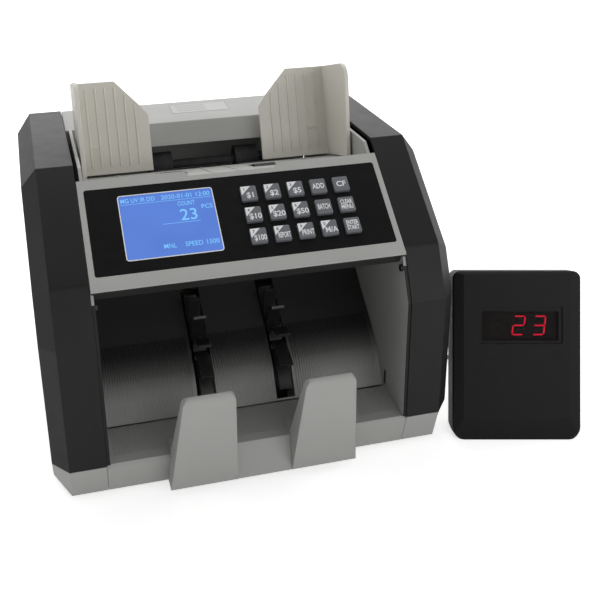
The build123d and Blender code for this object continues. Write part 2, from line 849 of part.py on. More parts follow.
with BuildPart() as pickup_roller:
    tube(-chassis_x[1], pulley_x[1] + 1, pickup_yz, 3.0)
    tube(pulley_x[0], pulley_x[1], pickup_yz, 10.0)
    for side in (-1, 1):
        tube(side * ring_x - 7, side * ring_x + 7, pickup_yz, pickup_radius)
save(pickup_roller, "pickup_roller")

with BuildPart() as retard_roller:
    tube(-chassis_x[1], chassis_x[1], retard_yz, 3.0)
    for side in (-1, 1):
        tube(side * ring_x - 8, side * ring_x + 8, retard_yz, retard_radius)
save(retard_roller, "retard_roller")

# Stacker wheels: curved fins round a hub, two wheels on one shaft
with BuildPart() as stacker_wheels:
    tube(-104.0, chassis_x[1], wheel_yz, 3.0)
    for side in (-1, 1):
        with BuildSketch(Plane.YZ.offset(side * wheel_x - wheel_width / 2)):
            with Locations(wheel_yz):
                Circle(11.0)
                with BuildLine(mode=Mode.PRIVATE) as fin_line:
                    ThreePointArc((9.0, 0), (24.0, 4.6), (wheel_radius - 4.2, 15.5))
            with BuildSketch(mode=Mode.PRIVATE) as fin:
                trace(fin_line.line, line_width=1.8)
            with Locations(wheel_yz):
                with PolarLocations(0, wheel_fins):
                    add(fin.sketch)
        extrude(amount=wheel_width)
save(stacker_wheels, "stacker_wheels")

# Motors: a belt-drive motor for the feed and a flat one on the stacker shaft
with BuildPart() as main_motor:
    tube(32, chassis_x[0] - 0.05, motor_yz, motor_radius)
    tube(85, chassis_x[0] + 1, motor_yz, 2.5 + running_clearance, mode=Mode.SUBTRACT)
    rim = main_motor.edges().filter_by(GeomType.CIRCLE).sort_by(Axis.X)[0]
    fillet(rim, radius=2.5)
save(main_motor, "main_motor")

with BuildPart() as stacker_motor:
    tube(-108.5, -chassis_x[1] - 0.05, wheel_yz, 17.0)
    tube(-104.5, -chassis_x[1] + 1, wheel_yz, 3.0 + running_clearance, mode=Mode.SUBTRACT)
save(stacker_motor, "stacker_motor")

with BuildPart() as motor_pulley:
    tube(86, pulley_x[1] + 1, motor_yz, 2.5)
    tube(pulley_x[0], pulley_x[1], motor_yz, 8.0)
save(motor_pulley, "motor_pulley")


def belt_hull(extra):
    with BuildSketch(Plane.YZ.offset(pulley_x[0] + 1)) as loop:
        for yz, radius in ((motor_yz, 8.0), (drum_yz, 14.0), (pickup_yz, 10.0)):
            with Locations(yz):
                Circle(radius + extra)
        make_hull()
    return loop.sketch


with BuildPart() as drive_belt:
    extrude(belt_hull(1.5), amount=4.0)
    extrude(belt_hull(0.08), amount=4.0, mode=Mode.SUBTRACT)
save(drive_belt, "drive_belt")

# Stacker back plate: folded and slotted for the wheels
with BuildPart() as stacker_back_plate:
    strip(
        [(stacker_floor_y + 0.6, seam_z + 0.6), (-63.5, 46.5), (-44.5, 61.0), (-27.0, 72.5),
         (-13.5, 83.5), (-6.0, 97.0)],
        2.0,
        -90.0,
        90.0,
    )
    for side in (-1, 1):
        block((side * wheel_x - 6, side * wheel_x + 6), (-76.0, -12.0), (20, 90),
              mode=Mode.SUBTRACT)
save(stacker_back_plate, "stacker_back_plate")

# Stacker arms: forward-leaning wedges hooked over the base's front edge
with BuildPart() as stacker_arm_right:
    with BuildSketch(Plane.YZ.offset(arm_base_x[0] - 2)):
        Polygon(
            arm_foot,
            (-140.1, arm_top_z),
            (-135.2, arm_outline_z[1]),
            (-112.0, seam_z + 3.0),
            (-101.0, seam_z + 3.0),
            (-101.0, seam_z + 0.05),
            (front_y - 0.1, seam_z + 0.05),
            (-108.4, 5.0),
            align=None,
        )
    extrude(amount=arm_base_x[1] - arm_base_x[0] + 4)
    with BuildSketch(Plane.XZ.offset(90)):
        arm_corners = Polygon(
            (arm_base_x[0], arm_outline_z[0]),
            (arm_base_x[1], arm_outline_z[0]),
            (arm_top_x[1], arm_outline_z[1]),
            (arm_top_x[0], arm_outline_z[1]),
            align=None,
        )
        fillet(arm_corners.vertices().group_by(Axis.Y)[-1], radius=5.0)
        fillet(arm_corners.vertices().sort_by(Axis.X)[-1], radius=4.0)
    extrude(amount=60, mode=Mode.INTERSECT)
    arm_front = stacker_arm_right.faces().sort_by(Axis.Y)[0]
    fillet(arm_front.edges(), radius=arm_edge_round)
save(stacker_arm_right, "stacker_arm_right")
save_mirrored(stacker_arm_right, "stacker_arm_left")

# Screws: two in the inner walls, four in the rear panel, four in the display's back
display_screws = [(-33, 26), (33, 26), (-33, 98), (33, 98)]


def screw(seat, head_radius, shank_radius, length):
    """Pan-head screw on a seat plane whose normal points out of the wall."""
    with BuildSketch(seat.offset(-length)) as shank:
        Circle(shank_radius)
    extrude(shank.sketch, amount=length)
    with BuildSketch(seat) as head:
        Circle(head_radius)
    extrude(head.sketch, amount=1.5)
    with BuildSketch(seat.offset(0.7)) as recess:
        Rectangle(head_radius * 1.2, 0.6)
        Rectangle(0.6, head_radius * 1.2)
    extrude(recess.sketch, amount=1.0, mode=Mode.SUBTRACT)


with BuildPart() as screws:
    for side in (-1, 1):
        screw(Plane(origin=(side * liner_x[0], -101.0, 121.5), x_dir=(0, 1, 0),
                    z_dir=(-side, 0, 0)), 2.2, 1.25, 1.4)
    for x, z in ((-84, 31), (84, 31), (-84, 73), (84, 73)):
        screw(Plane(origin=(x, back_y, z), x_dir=(1, 0, 0), z_dir=(0, 1, 0)), 2.8, 1.45, 2.3)
    for x, h in display_screws:
        seat = Plane(
            origin=display.from_local_coords((x, h, -display_depth)),
            x_dir=display.x_dir,
            z_dir=-display.z_dir,
        )
        screw(seat, 2.4, 1.45, 2.3)
save(screws, "screws")

# Cord grommet in the base's back wall, with a tapered tail
grommet = Plane(origin=(grommet_xz[0], back_y, grommet_xz[1]), x_dir=(1, 0, 0), z_dir=(0, 1, 0))
grommet_tail = 8.0
with BuildPart() as display_cord_grommet:
    with BuildSketch(grommet.offset(-4.0)):
        Circle(3.95)
    extrude(amount=4.0)
    with BuildSketch(grommet):
        Circle(5.4)
    extrude(amount=1.5)
    with BuildSketch(grommet.offset(1.5)):
        Circle(3.4)
    with BuildSketch(grommet.offset(grommet_tail)):
        Circle(2.2)
    loft()
save(display_cord_grommet, "display_cord_grommet")

# External display: front and back shells, window and fold-out stand
recess_x = (-24.7, 29.1)
recess_h = (62.1, 85.9)
window_x = (-22.3, 26.6)
window_h = (64.1, 82.8)
outlet = (25.0, 20.0)
outlet_tail = 5.0
facet_x = 34.0          # the front's flat centre ends here, and its margins slope back
facet_h = 12.5
facet_drop = 1.4
facet_sweep = 250.0     # radius of the lower margin's curved edge
rim_chamfer = 2.0
overshoot = 1.0         # how far a cut runs past the surface it opens


def display_outline(w, inset):
    with BuildSketch(display.offset(w)) as outline:
        with Locations((0, display_height / 2)):
            Rectangle(display_width - 2 * inset, display_height - 2 * inset)
        low = outline.vertices().group_by(Axis.Y)[0]
        fillet(low, radius=9.0 - inset)
        high = outline.vertices().group_by(Axis.Y)[-1]
        fillet(high, radius=5.0 - inset)
    return outline.sketch


def display_rect(w, x, h, corner):
    with BuildSketch(display.offset(w)) as rect:
        with Locations(((x[0] + x[1]) / 2, (h[0] + h[1]) / 2)):
            RectangleRounded(x[1] - x[0], h[1] - h[0], corner)
    return rect.sketch


with BuildPart() as front_cavity:
    extrude(display_outline(display_split - 1, 2.0), amount=8.0)
    split(bisect_by=Plane.XY.offset(2.2), keep=Keep.TOP)

with BuildPart() as display_front_shell:
    extrude(display_outline(display_split, 0), amount=-display_split)
    front_rim = display_front_shell.faces().sort_by(Axis(display.origin, display.z_dir))[-1]
    chamfer(front_rim.edges(), length=rim_chamfer)
    across = Plane(origin=display.origin, x_dir=display.x_dir, z_dir=-display.y_dir)
    with BuildSketch(across) as side_facets:
        for side in (-1, 1):
            Polygon(
                (side * facet_x, 0),
                (side * facet_x, overshoot),
                (side * display_width / 2, overshoot),
                (side * display_width / 2, -facet_drop),
                align=None,
            )
    extrude(side_facets.sketch, amount=-display_height, mode=Mode.SUBTRACT)
    upright = Plane(origin=display.origin, x_dir=display.y_dir, z_dir=display.x_dir)
    sweep_axis = Axis(display.from_local_coords((0, facet_h + facet_sweep, 0)), display.z_dir)
    with BuildSketch(upright) as low_facet:
        Polygon(
            (facet_h, 0),
            (facet_h, overshoot),
            (-overshoot, overshoot),
            (-overshoot, -facet_drop),
            align=None,
        )
    revolve(low_facet.sketch, axis=sweep_axis, mode=Mode.SUBTRACT)
    split(bisect_by=Plane.XY, keep=Keep.TOP)
    add(front_cavity.part, mode=Mode.SUBTRACT)
    extrude(display_rect(-1.0, recess_x, recess_h, 1.5), amount=3, mode=Mode.SUBTRACT)
    extrude(display_rect(-4.0, window_x, window_h, 1.0), amount=6, mode=Mode.SUBTRACT)
save(display_front_shell, "display_front_shell")

with BuildPart() as display_window:
    extrude(
        display_rect(-2.9, (window_x[0] + 0.05, window_x[1] - 0.05),
                     (window_h[0] + 0.05, window_h[1] - 0.05), 1.0),
        amount=1.5,
    )
save(display_window, "display_window")

with BuildPart() as back_cavity:
    extrude(display_outline(-display_depth + 2.0, 2.0), amount=14.0)
    split(bisect_by=Plane.XY.offset(2.2), keep=Keep.TOP)

with BuildPart() as display_back_shell:
    extrude(
        display_outline(-display_depth, 0), amount=display_depth + display_split - 0.05
    )
    back_rim = display_back_shell.faces().sort_by(Axis(display.origin, display.z_dir))[0]
    fillet(back_rim.edges(), radius=1.6)
    split(bisect_by=Plane.XY, keep=Keep.TOP)
    add(back_cavity.part, mode=Mode.SUBTRACT)
    for side in (-1, 1):
        lug_x = side * (stand_half + 2.2)
        with BuildSketch(display.offset(-display_depth)):
            with Locations((lug_x, stand_hinge_h)):
                Rectangle(3.0, 6.0)
        extrude(amount=-5.6)
    hinge_plane = Plane(
        origin=display.from_local_coords((-stand_half - 5, stand_hinge_h, stand_hinge_w)),
        x_dir=display.y_dir,
        z_dir=display.x_dir,
    )
    with BuildSketch(hinge_plane):
        Circle(1.2 + running_clearance)
    extrude(amount=2 * stand_half + 10, mode=Mode.SUBTRACT)
    with BuildSketch(display.offset(-display_depth - 3)):
        with Locations(*display_screws):
            Circle(1.5)
    extrude(amount=5.5, mode=Mode.SUBTRACT)
    with BuildSketch(display.offset(-display_depth)):
        with Locations(outlet):
            Circle(3.6)
    extrude(amount=-outlet_tail, taper=14)
save(display_back_shell, "display_back_shell")

stand_down = (
    -display.y_dir * cos(radians(stand_angle)) - display.z_dir * sin(radians(stand_angle))
)
stand_plane = Plane(
    origin=display.from_local_coords((0, stand_hinge_h, stand_hinge_w)),
    x_dir=display.x_dir,
    z_dir=display.x_dir.cross(stand_down),
)
with BuildPart() as display_stand:
    with BuildSketch(stand_plane.offset(-1.4)):
        with Locations((0, 35)):
            Rectangle(2 * stand_half, 70)
        with Locations((0, 30)):
            RectangleRounded(20, 30, 4, mode=Mode.SUBTRACT)
    extrude(amount=2.8)
    split(bisect_by=Plane.XY.offset(0.02), keep=Keep.TOP)
    barrel_plane = Plane(
        origin=stand_plane.from_local_coords((-stand_half, 0, 0)),
        x_dir=stand_plane.y_dir,
        z_dir=stand_plane.x_dir,
    )
    with BuildSketch(barrel_plane):
        Circle(2.3)
    extrude(amount=2 * stand_half)
    with BuildSketch(barrel_plane.offset(-3.0)):
        Circle(1.2)
    extrude(amount=2 * stand_half + 6)
save(display_stand, "display_stand")

# Display cord: from the grommet into its coil behind the machine, and from the coil round the
# machine's right side to the display's back
grommet_end = (grommet_xz[0], back_y + grommet_tail, grommet_xz[1])
outlet_point = display.from_local_coords((*outlet, -display_depth - outlet_tail))
cord_floor = cord_radius
cord_to_coil = [
    grommet_end,
    (70.0, 133.0, 12.4),
    (70.2, 143.0, 7.0),
    (69.0, 153.0, 2.2),
    (63.0, 161.5, 1.6),
]
cord_from_coil = [
    (50.0, 131.0, 4.5),
    (62.0, 130.6, 3.2),
    (84.0, 129.5, cord_floor),
    (108.0, 131.5, cord_floor),
    (131.0, 130.0, cord_floor),
    (146.0, 117.0, cord_floor),
    (149.5, 92.0, cord_floor),
    (145.5, 60.0, cord_floor),
    (144.5, 28.0, cord_floor),
    (141.5, 2.0, cord_floor),
    (145.0, -16.0, cord_floor),
    (157.5, -23.4, cord_floor),
    (173.0, -18.6, cord_floor),
    (190.0, -21.0, cord_floor),
    (204.0, -36.0, cord_floor),
    (209.0, -56.0, cord_floor),
    (207.5, -74.0, cord_floor + 0.1),
    (201.3, -86.5, 2.6),
    tuple(outlet_point),
]


def cord_radii(route):
    """Largest bend radius that each corner's two runs leave room for."""
    points = [Vector(*p) for p in route]
    radii = []
    for before, corner, after in zip(points, points[1:], points[2:]):
        turn = radians((corner - before).get_angle(after - corner))
        shorter = min((corner - before).length, (after - corner).length)
        radii.append(0.45 * shorter / tan(turn / 2))
    return radii


def cord_tube(route):
    """Round tube along straight runs joined by tangent arcs; returns its length."""
    with BuildLine() as path:
        FilletPolyline(*route, radius=cord_radii(route))
    route_wire = path.wire()
    with BuildSketch(Plane(origin=route_wire @ 0, z_dir=route_wire % 0)) as section:
        Circle(cord_radius)
    sweep(section.sketch, path=route_wire)
    return route_wire.length


with BuildPart() as display_cord:
    tube_length = cord_tube(cord_to_coil) + cord_tube(cord_from_coil)
save(display_cord, "display_cord")
print("cord radii", [round(r, 1) for r in cord_radii(cord_to_coil)])
print("cord radii", [round(r, 1) for r in cord_radii(cord_from_coil)])
print(
    "cord tubes", round(tube_length, 1), "mm, volume ratio",
    round(display_cord.part.volume / (tube_length * pi * cord_radius**2), 4),
)
coil_turns = (cord_total - tube_length) / (2 * pi * coil_mid_radius)
print("coil turns", round(coil_turns, 2))

with BuildPart() as display_cord_coil:
    with BuildSketch():
        with Locations(coil_centre):
            Circle(coil_mid_radius + coil_width / 2)
            Circle(coil_mid_radius - coil_width / 2, mode=Mode.SUBTRACT)
    extrude(amount=coil_height)
    fillet(display_cord_coil.edges(), radius=1.4)
save(display_cord_coil, "display_cord_coil")
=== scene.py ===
import json
from math import cos, pi, radians, sin

import bpy
from mathutils import Matrix, Vector


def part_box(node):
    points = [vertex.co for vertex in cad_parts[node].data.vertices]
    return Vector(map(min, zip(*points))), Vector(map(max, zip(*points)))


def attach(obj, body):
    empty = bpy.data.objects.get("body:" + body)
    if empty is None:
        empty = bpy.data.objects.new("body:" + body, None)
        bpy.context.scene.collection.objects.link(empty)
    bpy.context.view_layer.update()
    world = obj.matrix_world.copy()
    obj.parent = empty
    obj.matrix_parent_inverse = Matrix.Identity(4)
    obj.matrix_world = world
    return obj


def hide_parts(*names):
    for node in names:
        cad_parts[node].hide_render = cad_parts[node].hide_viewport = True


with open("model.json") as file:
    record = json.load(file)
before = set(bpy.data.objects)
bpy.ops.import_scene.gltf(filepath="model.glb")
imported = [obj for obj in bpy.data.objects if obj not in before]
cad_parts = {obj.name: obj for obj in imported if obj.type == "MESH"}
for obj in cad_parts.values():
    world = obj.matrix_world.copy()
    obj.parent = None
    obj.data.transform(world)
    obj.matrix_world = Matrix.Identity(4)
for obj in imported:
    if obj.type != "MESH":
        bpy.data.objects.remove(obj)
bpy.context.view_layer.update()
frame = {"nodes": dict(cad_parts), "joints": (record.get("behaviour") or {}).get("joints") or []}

# Banknote counting machine with its external counter display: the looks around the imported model.
# Metres, +Z up, floor at Z = 0, front towards -Y. Small sizes are given in millimetres times MM.

MM = 0.001
scene = bpy.context.scene


# ---------------------------------------------------------------- planes taken from the frame

def plane(origin, x_dir, z_dir):
    """Local axes of a flat part of the object: x along x_dir, z out of the surface."""
    x_axis = Vector(x_dir).normalized()
    z_axis = Vector(z_dir).normalized()
    y_axis = z_axis.cross(x_axis)
    matrix = Matrix((x_axis, y_axis, z_axis)).transposed().to_4x4()
    matrix.translation = Vector(origin)
    return matrix


def local_box(node, axes):
    """Lowest and highest corner of a CAD node along a plane's own axes."""
    inverse = axes.inverted()
    points = [inverse @ vertex.co for vertex in frame["nodes"][node].data.vertices]
    low = Vector([min(p[i] for p in points) for i in range(3)])
    high = Vector([max(p[i] for p in points) for i in range(3)])
    return low, high


def joint(name):
    """The frame's row of one joint."""
    return next(j for j in frame["joints"] if j["name"] == name)


def middle_x(node):
    """Middle of a CAD node from left to right."""
    low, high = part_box(node)
    return (low.x + high.x) / 2


panel_out = -Vector(joint("key_1_1_press")["axis"])
overlay_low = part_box("panel_overlay")[0]
panel = plane((0, overlay_low.y, overlay_low.z), (1, 0, 0), panel_out)
panel.translation += panel_out * local_box("panel_overlay", panel)[1].z

knob_out = Vector(joint("knob_turn")["axis"])
knob = plane(joint("knob_turn")["pos_m"], (-1, 0, 0), knob_out)

display_lean = radians(23.8)
display_x = Vector(joint("stand_fold")["axis"])
display_back = Vector((-display_x.y, display_x.x, 0))
display_out = -display_back * cos(display_lean) + Vector((0, 0, sin(display_lean)))
display = plane(joint("stand_fold")["pos_m"], display_x, display_out)
face_low, face_high = local_box("display_front_shell", display)
display = display @ Matrix.Translation((0, face_low.y, face_high.z))
back_wall = plane((0, 0, 0), (-1, 0, 0), (0, 1, 0))
level = plane((0, 0, 0), (1, 0, 0), (0, 0, 1))


# ---------------------------------------------------------------- camera

def make_camera():
    """Looks from the front left and above, as far back as a short telephoto needs."""
    yaw, pitch = radians(15.606), radians(23.806)
    eye = (-0.11253, -0.60094, 0.38839)
    ahead = Vector((sin(yaw) * cos(pitch), cos(yaw) * cos(pitch), -sin(pitch)))
    data = bpy.data.cameras.new("camera")
    data.sensor_width = 36.0
    data.lens = 60.46
    data.shift_y = -0.132
    data.clip_start, data.clip_end = 0.01, 50.0
    camera = bpy.data.objects.new("camera", data)
    camera.location = eye
    camera.rotation_mode = "QUATERNION"
    camera.rotation_quaternion = ahead.to_track_quat("-Z", "Y")
    scene.collection.objects.link(camera)
    scene.camera = camera


make_camera()


# ---------------------------------------------------------------- materials

def shader(name):
    """A new node material and its main shader."""
    material = bpy.data.materials.new(name)
    material.use_nodes = True
    return material, material.node_tree, material.node_tree.nodes["Principled BSDF"]


def noise(tree, size, detail=3.0, stretch=(1, 1, 1), roughness=0.55):
    """Noise whose features are about size metres across, stretched by the given factors."""
    nodes, links = tree.nodes, tree.links
    place = nodes.new("ShaderNodeTexCoord")
    mapping = nodes.new("ShaderNodeMapping")
    mapping.inputs["Scale"].default_value = [1 / (size * s) for s in stretch]
    texture = nodes.new("ShaderNodeTexNoise")
    texture.inputs["Scale"].default_value = 1.0
    texture.inputs["Detail"].default_value = detail
    texture.inputs["Roughness"].default_value = roughness
    links.new(place.outputs["Object"], mapping.inputs["Vector"])
    links.new(mapping.outputs["Vector"], texture.inputs["Vector"])
    return texture.outputs["Fac"]


def spread(tree, factor, low, high):
    """Maps a noise value onto the range low to high."""
    node = tree.nodes.new("ShaderNodeMapRange")
    node.inputs["From Min"].default_value = 0.3
    node.inputs["From Max"].default_value = 0.7
    node.inputs["To Min"].default_value = low
    node.inputs["To Max"].default_value = high
    tree.links.new(factor, node.inputs["Value"])
    return node.outputs["Result"]


def blend_colours(tree, factor, first, second):
    """Mixes two colours, or sockets that carry them, by a factor socket."""
    node = tree.nodes.new("ShaderNodeMix")
    node.data_type = "RGBA"
    for socket, value in ((node.inputs[6], first), (node.inputs[7], second)):
        if isinstance(value, bpy.types.NodeSocket):
            tree.links.new(value, socket)
        else:
            socket.default_value = (*value, 1.0)
    tree.links.new(factor, node.inputs["Factor"])
    return node.outputs[2]


def edge_mask(tree, radius):
    """0 on flat faces, rising towards 1 along convex and concave edges, and the rounded normal."""
    flat_cosine, edge_cosine = 0.995, 0.86
    bevel = tree.nodes.new("ShaderNodeBevel")
    bevel.samples = 4
    bevel.inputs["Radius"].default_value = radius
    geometry = tree.nodes.new("ShaderNodeNewGeometry")
    product = tree.nodes.new("ShaderNodeVectorMath")
    product.operation = "DOT_PRODUCT"
    tree.links.new(bevel.outputs["Normal"], product.inputs[0])
    tree.links.new(geometry.outputs["Normal"], product.inputs[1])
    ramp = tree.nodes.new("ShaderNodeMapRange")
    ramp.inputs["From Min"].default_value = flat_cosine
    ramp.inputs["From Max"].default_value = edge_cosine
    tree.links.new(product.outputs["Value"], ramp.inputs["Value"])
    return ramp.outputs["Result"], bevel.outputs["Normal"]


def bump(tree, height, strength, distance, normal=None):
    """Surface relief from a height value, on top of another normal if one is given."""
    node = tree.nodes.new("ShaderNodeBump")
    node.inputs["Strength"].default_value = strength
    node.inputs["Distance"].default_value = distance
    tree.links.new(height, node.inputs["Height"])
    if normal:
        tree.links.new(normal, node.inputs["Normal"])
    return node.outputs["Normal"]


def shade(colour, factor):
    """A colour made lighter or darker by a factor."""
    return [channel * factor for channel in colour]


def moulded(name, colour, roughness, grain=0.45 * MM, depth=0.03 * MM, mottle=0.03, wear_and_highlight=1.35,
            edge=0.45 * MM, specular=0.5):
    """Textured moulded plastic: fine spark-eroded grain, faint mottling, and edges lightened partly
    as rubbed wear and partly as painted highlight.
    """
    mottle_size, sheen_size = 28 * MM, 9 * MM
    material, tree, bsdf = shader(name)
    large = noise(tree, mottle_size, detail=4.0)
    small = noise(tree, grain, detail=2.0, roughness=0.7)
    base = blend_colours(
        tree, spread(tree, large, 0.0, 1.0), shade(colour, 1 - mottle), shade(colour, 1 + mottle)
    )
    mask, rounded = edge_mask(tree, edge)
    # Edges lighter by a factor: rubbed wear and painted highlight in one.
    rubbed_and_highlit = blend_colours(tree, mask, base, shade(colour, wear_and_highlight))
    tree.links.new(rubbed_and_highlit, bsdf.inputs["Base Color"])
    tree.links.new(
        spread(tree, noise(tree, sheen_size), roughness - 0.02, roughness + 0.03),
        bsdf.inputs["Roughness"],
    )
    tree.links.new(bump(tree, small, 0.5, depth, rounded), bsdf.inputs["Normal"])
    bsdf.inputs["Specular IOR Level"].default_value = specular
    return material


def streaked(name, colour, roughness, stretch, streak=0.10, edge=0.5 * MM, wear_and_highlight=1.12):
    """Smooth moulding with fine parallel flow lines, as on the note guides; its edges are lightened
    partly as wear and partly as painted highlight.
    """
    line_size, sheen_size, line_depth = 0.9 * MM, 12 * MM, 0.03 * MM
    material, tree, bsdf = shader(name)
    lines = noise(tree, line_size, detail=3.0, stretch=stretch, roughness=0.6)
    base = blend_colours(
        tree, spread(tree, lines, 0.0, 1.0), shade(colour, 1 - streak), shade(colour, 1 + streak)
    )
    mask, rounded = edge_mask(tree, edge)
    # Edges and ribs lighter by a factor: wear and painted highlight in one.
    tree.links.new(blend_colours(tree, mask, base, shade(colour, wear_and_highlight)), bsdf.inputs["Base Color"])
    tree.links.new(
        spread(tree, noise(tree, sheen_size), roughness - 0.05, roughness + 0.05),
        bsdf.inputs["Roughness"],
    )
    tree.links.new(bump(tree, lines, 0.35, line_depth, rounded), bsdf.inputs["Normal"])
    bsdf.inputs["Subsurface Weight"].default_value = 0.04
    bsdf.inputs["Subsurface Radius"].default_value = Vector((4, 3, 2)) * MM
    bsdf.inputs["Subsurface Scale"].default_value = 0.5
    return material


def film(name, colour, roughness):
    """Printed polyester film: flat colour with a faint orange-peel surface and dust specks."""
    speck_size, sheen_size, peel_size, peel_depth = 1.6 * MM, 7 * MM, 2.2 * MM, 0.02 * MM
    material, tree, bsdf = shader(name)
    specks = noise(tree, speck_size, detail=6.0, roughness=0.75)
    base = blend_colours(
        tree, spread(tree, specks, 0.0, 1.0), shade(colour, 0.85), shade(colour, 1.2)
    )
    tree.links.new(base, bsdf.inputs["Base Color"])
    tree.links.new(
        spread(tree, noise(tree, sheen_size), roughness - 0.04, roughness + 0.05),
        bsdf.inputs["Roughness"],
    )
    peel = noise(tree, peel_size, detail=1.0)
    tree.links.new(bump(tree, peel, 0.18, peel_depth), bsdf.inputs["Normal"])
    bsdf.inputs["Specular IOR Level"].default_value = 0.2
    return material


def metal(name, colour, roughness, stretch=(1, 1, 30), grain=0.35 * MM, metallic=1.0):
    """Sheet or turned metal with a fine brushed grain along one direction."""
    stain_size, edge, grain_depth = 18 * MM, 0.25 * MM, 0.015 * MM
    material, tree, bsdf = shader(name)
    lines = noise(tree, grain, detail=2.0, stretch=stretch)
    stains = noise(tree, stain_size, detail=4.0)
    base = blend_colours(
        tree, spread(tree, stains, 0.0, 1.0), shade(colour, 0.82), shade(colour, 1.08)
    )
    mask, rounded = edge_mask(tree, edge)
    tree.links.new(blend_colours(tree, mask, base, shade(colour, 1.25)), bsdf.inputs["Base Color"])
    tree.links.new(
        spread(tree, lines, roughness - 0.08, roughness + 0.12), bsdf.inputs["Roughness"]
    )
    tree.links.new(bump(tree, lines, 0.3, grain_depth, rounded), bsdf.inputs["Normal"])
    bsdf.inputs["Metallic"].default_value = metallic
    return material


def rubber(name, colour, roughness=0.75, grain=0.6 * MM):
    """Soft rubber: matt, dusty in the hollows of a fine grain."""
    dust_size, grain_depth = 6 * MM, 0.05 * MM
    material, tree, bsdf = shader(name)
    fine = noise(tree, grain, detail=4.0, roughness=0.7)
    dust = noise(tree, dust_size, detail=5.0)
    base = blend_colours(tree, spread(tree, dust, 0.0, 1.0), colour, shade(colour, 1.7))
    tree.links.new(base, bsdf.inputs["Base Color"])
    tree.links.new(spread(tree, fine, roughness - 0.1, roughness + 0.1), bsdf.inputs["Roughness"])
    tree.links.new(bump(tree, fine, 0.6, grain_depth), bsdf.inputs["Normal"])
    bsdf.inputs["Specular IOR Level"].default_value = 0.3
    return material


def circuit(name, colour):
    """Solder mask with faint copper tracks under it."""
    tracks_per_metre, track_share = 140.0, 0.06
    bubble_size, bubble_depth = 1.2 * MM, 0.05 * MM
    material, tree, bsdf = shader(name)
    place = tree.nodes.new("ShaderNodeTexCoord")
    tracks = tree.nodes.new("ShaderNodeTexBrick")
    tracks.inputs["Scale"].default_value = tracks_per_metre
    tracks.inputs["Mortar Size"].default_value = track_share
    tracks.inputs["Color1"].default_value = (*colour, 1)
    tracks.inputs["Color2"].default_value = (*shade(colour, 0.85), 1)
    tracks.inputs["Mortar"].default_value = (*shade(colour, 2.2), 1)
    tree.links.new(place.outputs["Object"], tracks.inputs["Vector"])
    tree.links.new(tracks.outputs["Color"], bsdf.inputs["Base Color"])
    bubbles = bump(tree, noise(tree, bubble_size), 0.3, bubble_depth)
    tree.links.new(bubbles, bsdf.inputs["Normal"])
    bsdf.inputs["Roughness"].default_value = 0.35
    return material


def glowing(name, colour, strength, cell=0.35 * MM, variation=0.06):
    """A lit display surface with a fine cell structure and a slightly uneven backlight."""
    cloud_size = 30 * MM
    material, tree, bsdf = shader(name)
    cells = noise(tree, cell, detail=0.0)
    cloud = noise(tree, cloud_size, detail=1.0)
    lit = blend_colours(
        tree, spread(tree, cloud, 0.0, 1.0),
        shade(colour, 1 - variation), shade(colour, 1 + variation),
    )
    dotted = blend_colours(tree, spread(tree, cells, 0.0, 0.25), lit, shade(colour, 0.8))
    tree.links.new(dotted, bsdf.inputs["Emission Color"])
    bsdf.inputs["Base Color"].default_value = (*shade(colour, 0.25), 1.0)
    bsdf.inputs["Emission Strength"].default_value = strength
    bsdf.inputs["Roughness"].default_value = 0.25
    return material


def grey_with_painted_shade(name, colour, dark, start, end):
    """Light grey moulding with painted shade: its colour darkens with height towards a dark colour,
    in place of the shadow deep in the stacker's throat.
    """
    material = moulded(name, colour, 0.5, wear_and_highlight=1.05, mottle=0.02)
    tree = material.node_tree
    bsdf = tree.nodes["Principled BSDF"]
    lit = bsdf.inputs["Base Color"].links[0].from_socket
    place = tree.nodes.new("ShaderNodeTexCoord")
    parts = tree.nodes.new("ShaderNodeSeparateXYZ")
    ramp = tree.nodes.new("ShaderNodeMapRange")
    ramp.interpolation_type = "SMOOTHSTEP"
    ramp.inputs["From Min"].default_value = start
    ramp.inputs["From Max"].default_value = end
    tree.links.new(place.outputs["Object"], parts.inputs["Vector"])
    tree.links.new(parts.outputs["Z"], ramp.inputs["Value"])
    # Painted shade: the colour goes over to the dark colour between the start and end heights.
    tree.links.new(
        blend_colours(tree, ramp.outputs["Result"], lit, dark), bsdf.inputs["Base Color"]
    )
    return material


def smoked_window(name):
    """Dark red-tinted acrylic with faint smears."""
    smear_size = 8 * MM
    material, tree, bsdf = shader(name)
    smear = noise(tree, smear_size, detail=4.0, stretch=(1, 3, 1))
    tint = blend_colours(
        tree, spread(tree, smear, 0.0, 1.0), (0.006, 0.002, 0.002), (0.012, 0.004, 0.004)
    )
    tree.links.new(tint, bsdf.inputs["Base Color"])
    tree.links.new(spread(tree, smear, 0.10, 0.20), bsdf.inputs["Roughness"])
    bsdf.inputs["Specular IOR Level"].default_value = 0.06
    bsdf.inputs["Alpha"].default_value = 0.35
    return material


def ink(name, colour, roughness=0.55):
    """Screen-printed ink with slightly uneven cover."""
    cover_size, ink_depth = 0.25 * MM, 0.01 * MM
    material, tree, bsdf = shader(name)
    cover = noise(tree, cover_size, detail=3.0, roughness=0.7)
    base = blend_colours(tree, spread(tree, cover, 0.0, 1.0), shade(colour, 0.88), colour)
    tree.links.new(base, bsdf.inputs["Base Color"])
    tree.links.new(bump(tree, cover, 0.2, ink_depth), bsdf.inputs["Normal"])
    bsdf.inputs["Roughness"].default_value = roughness
    return material


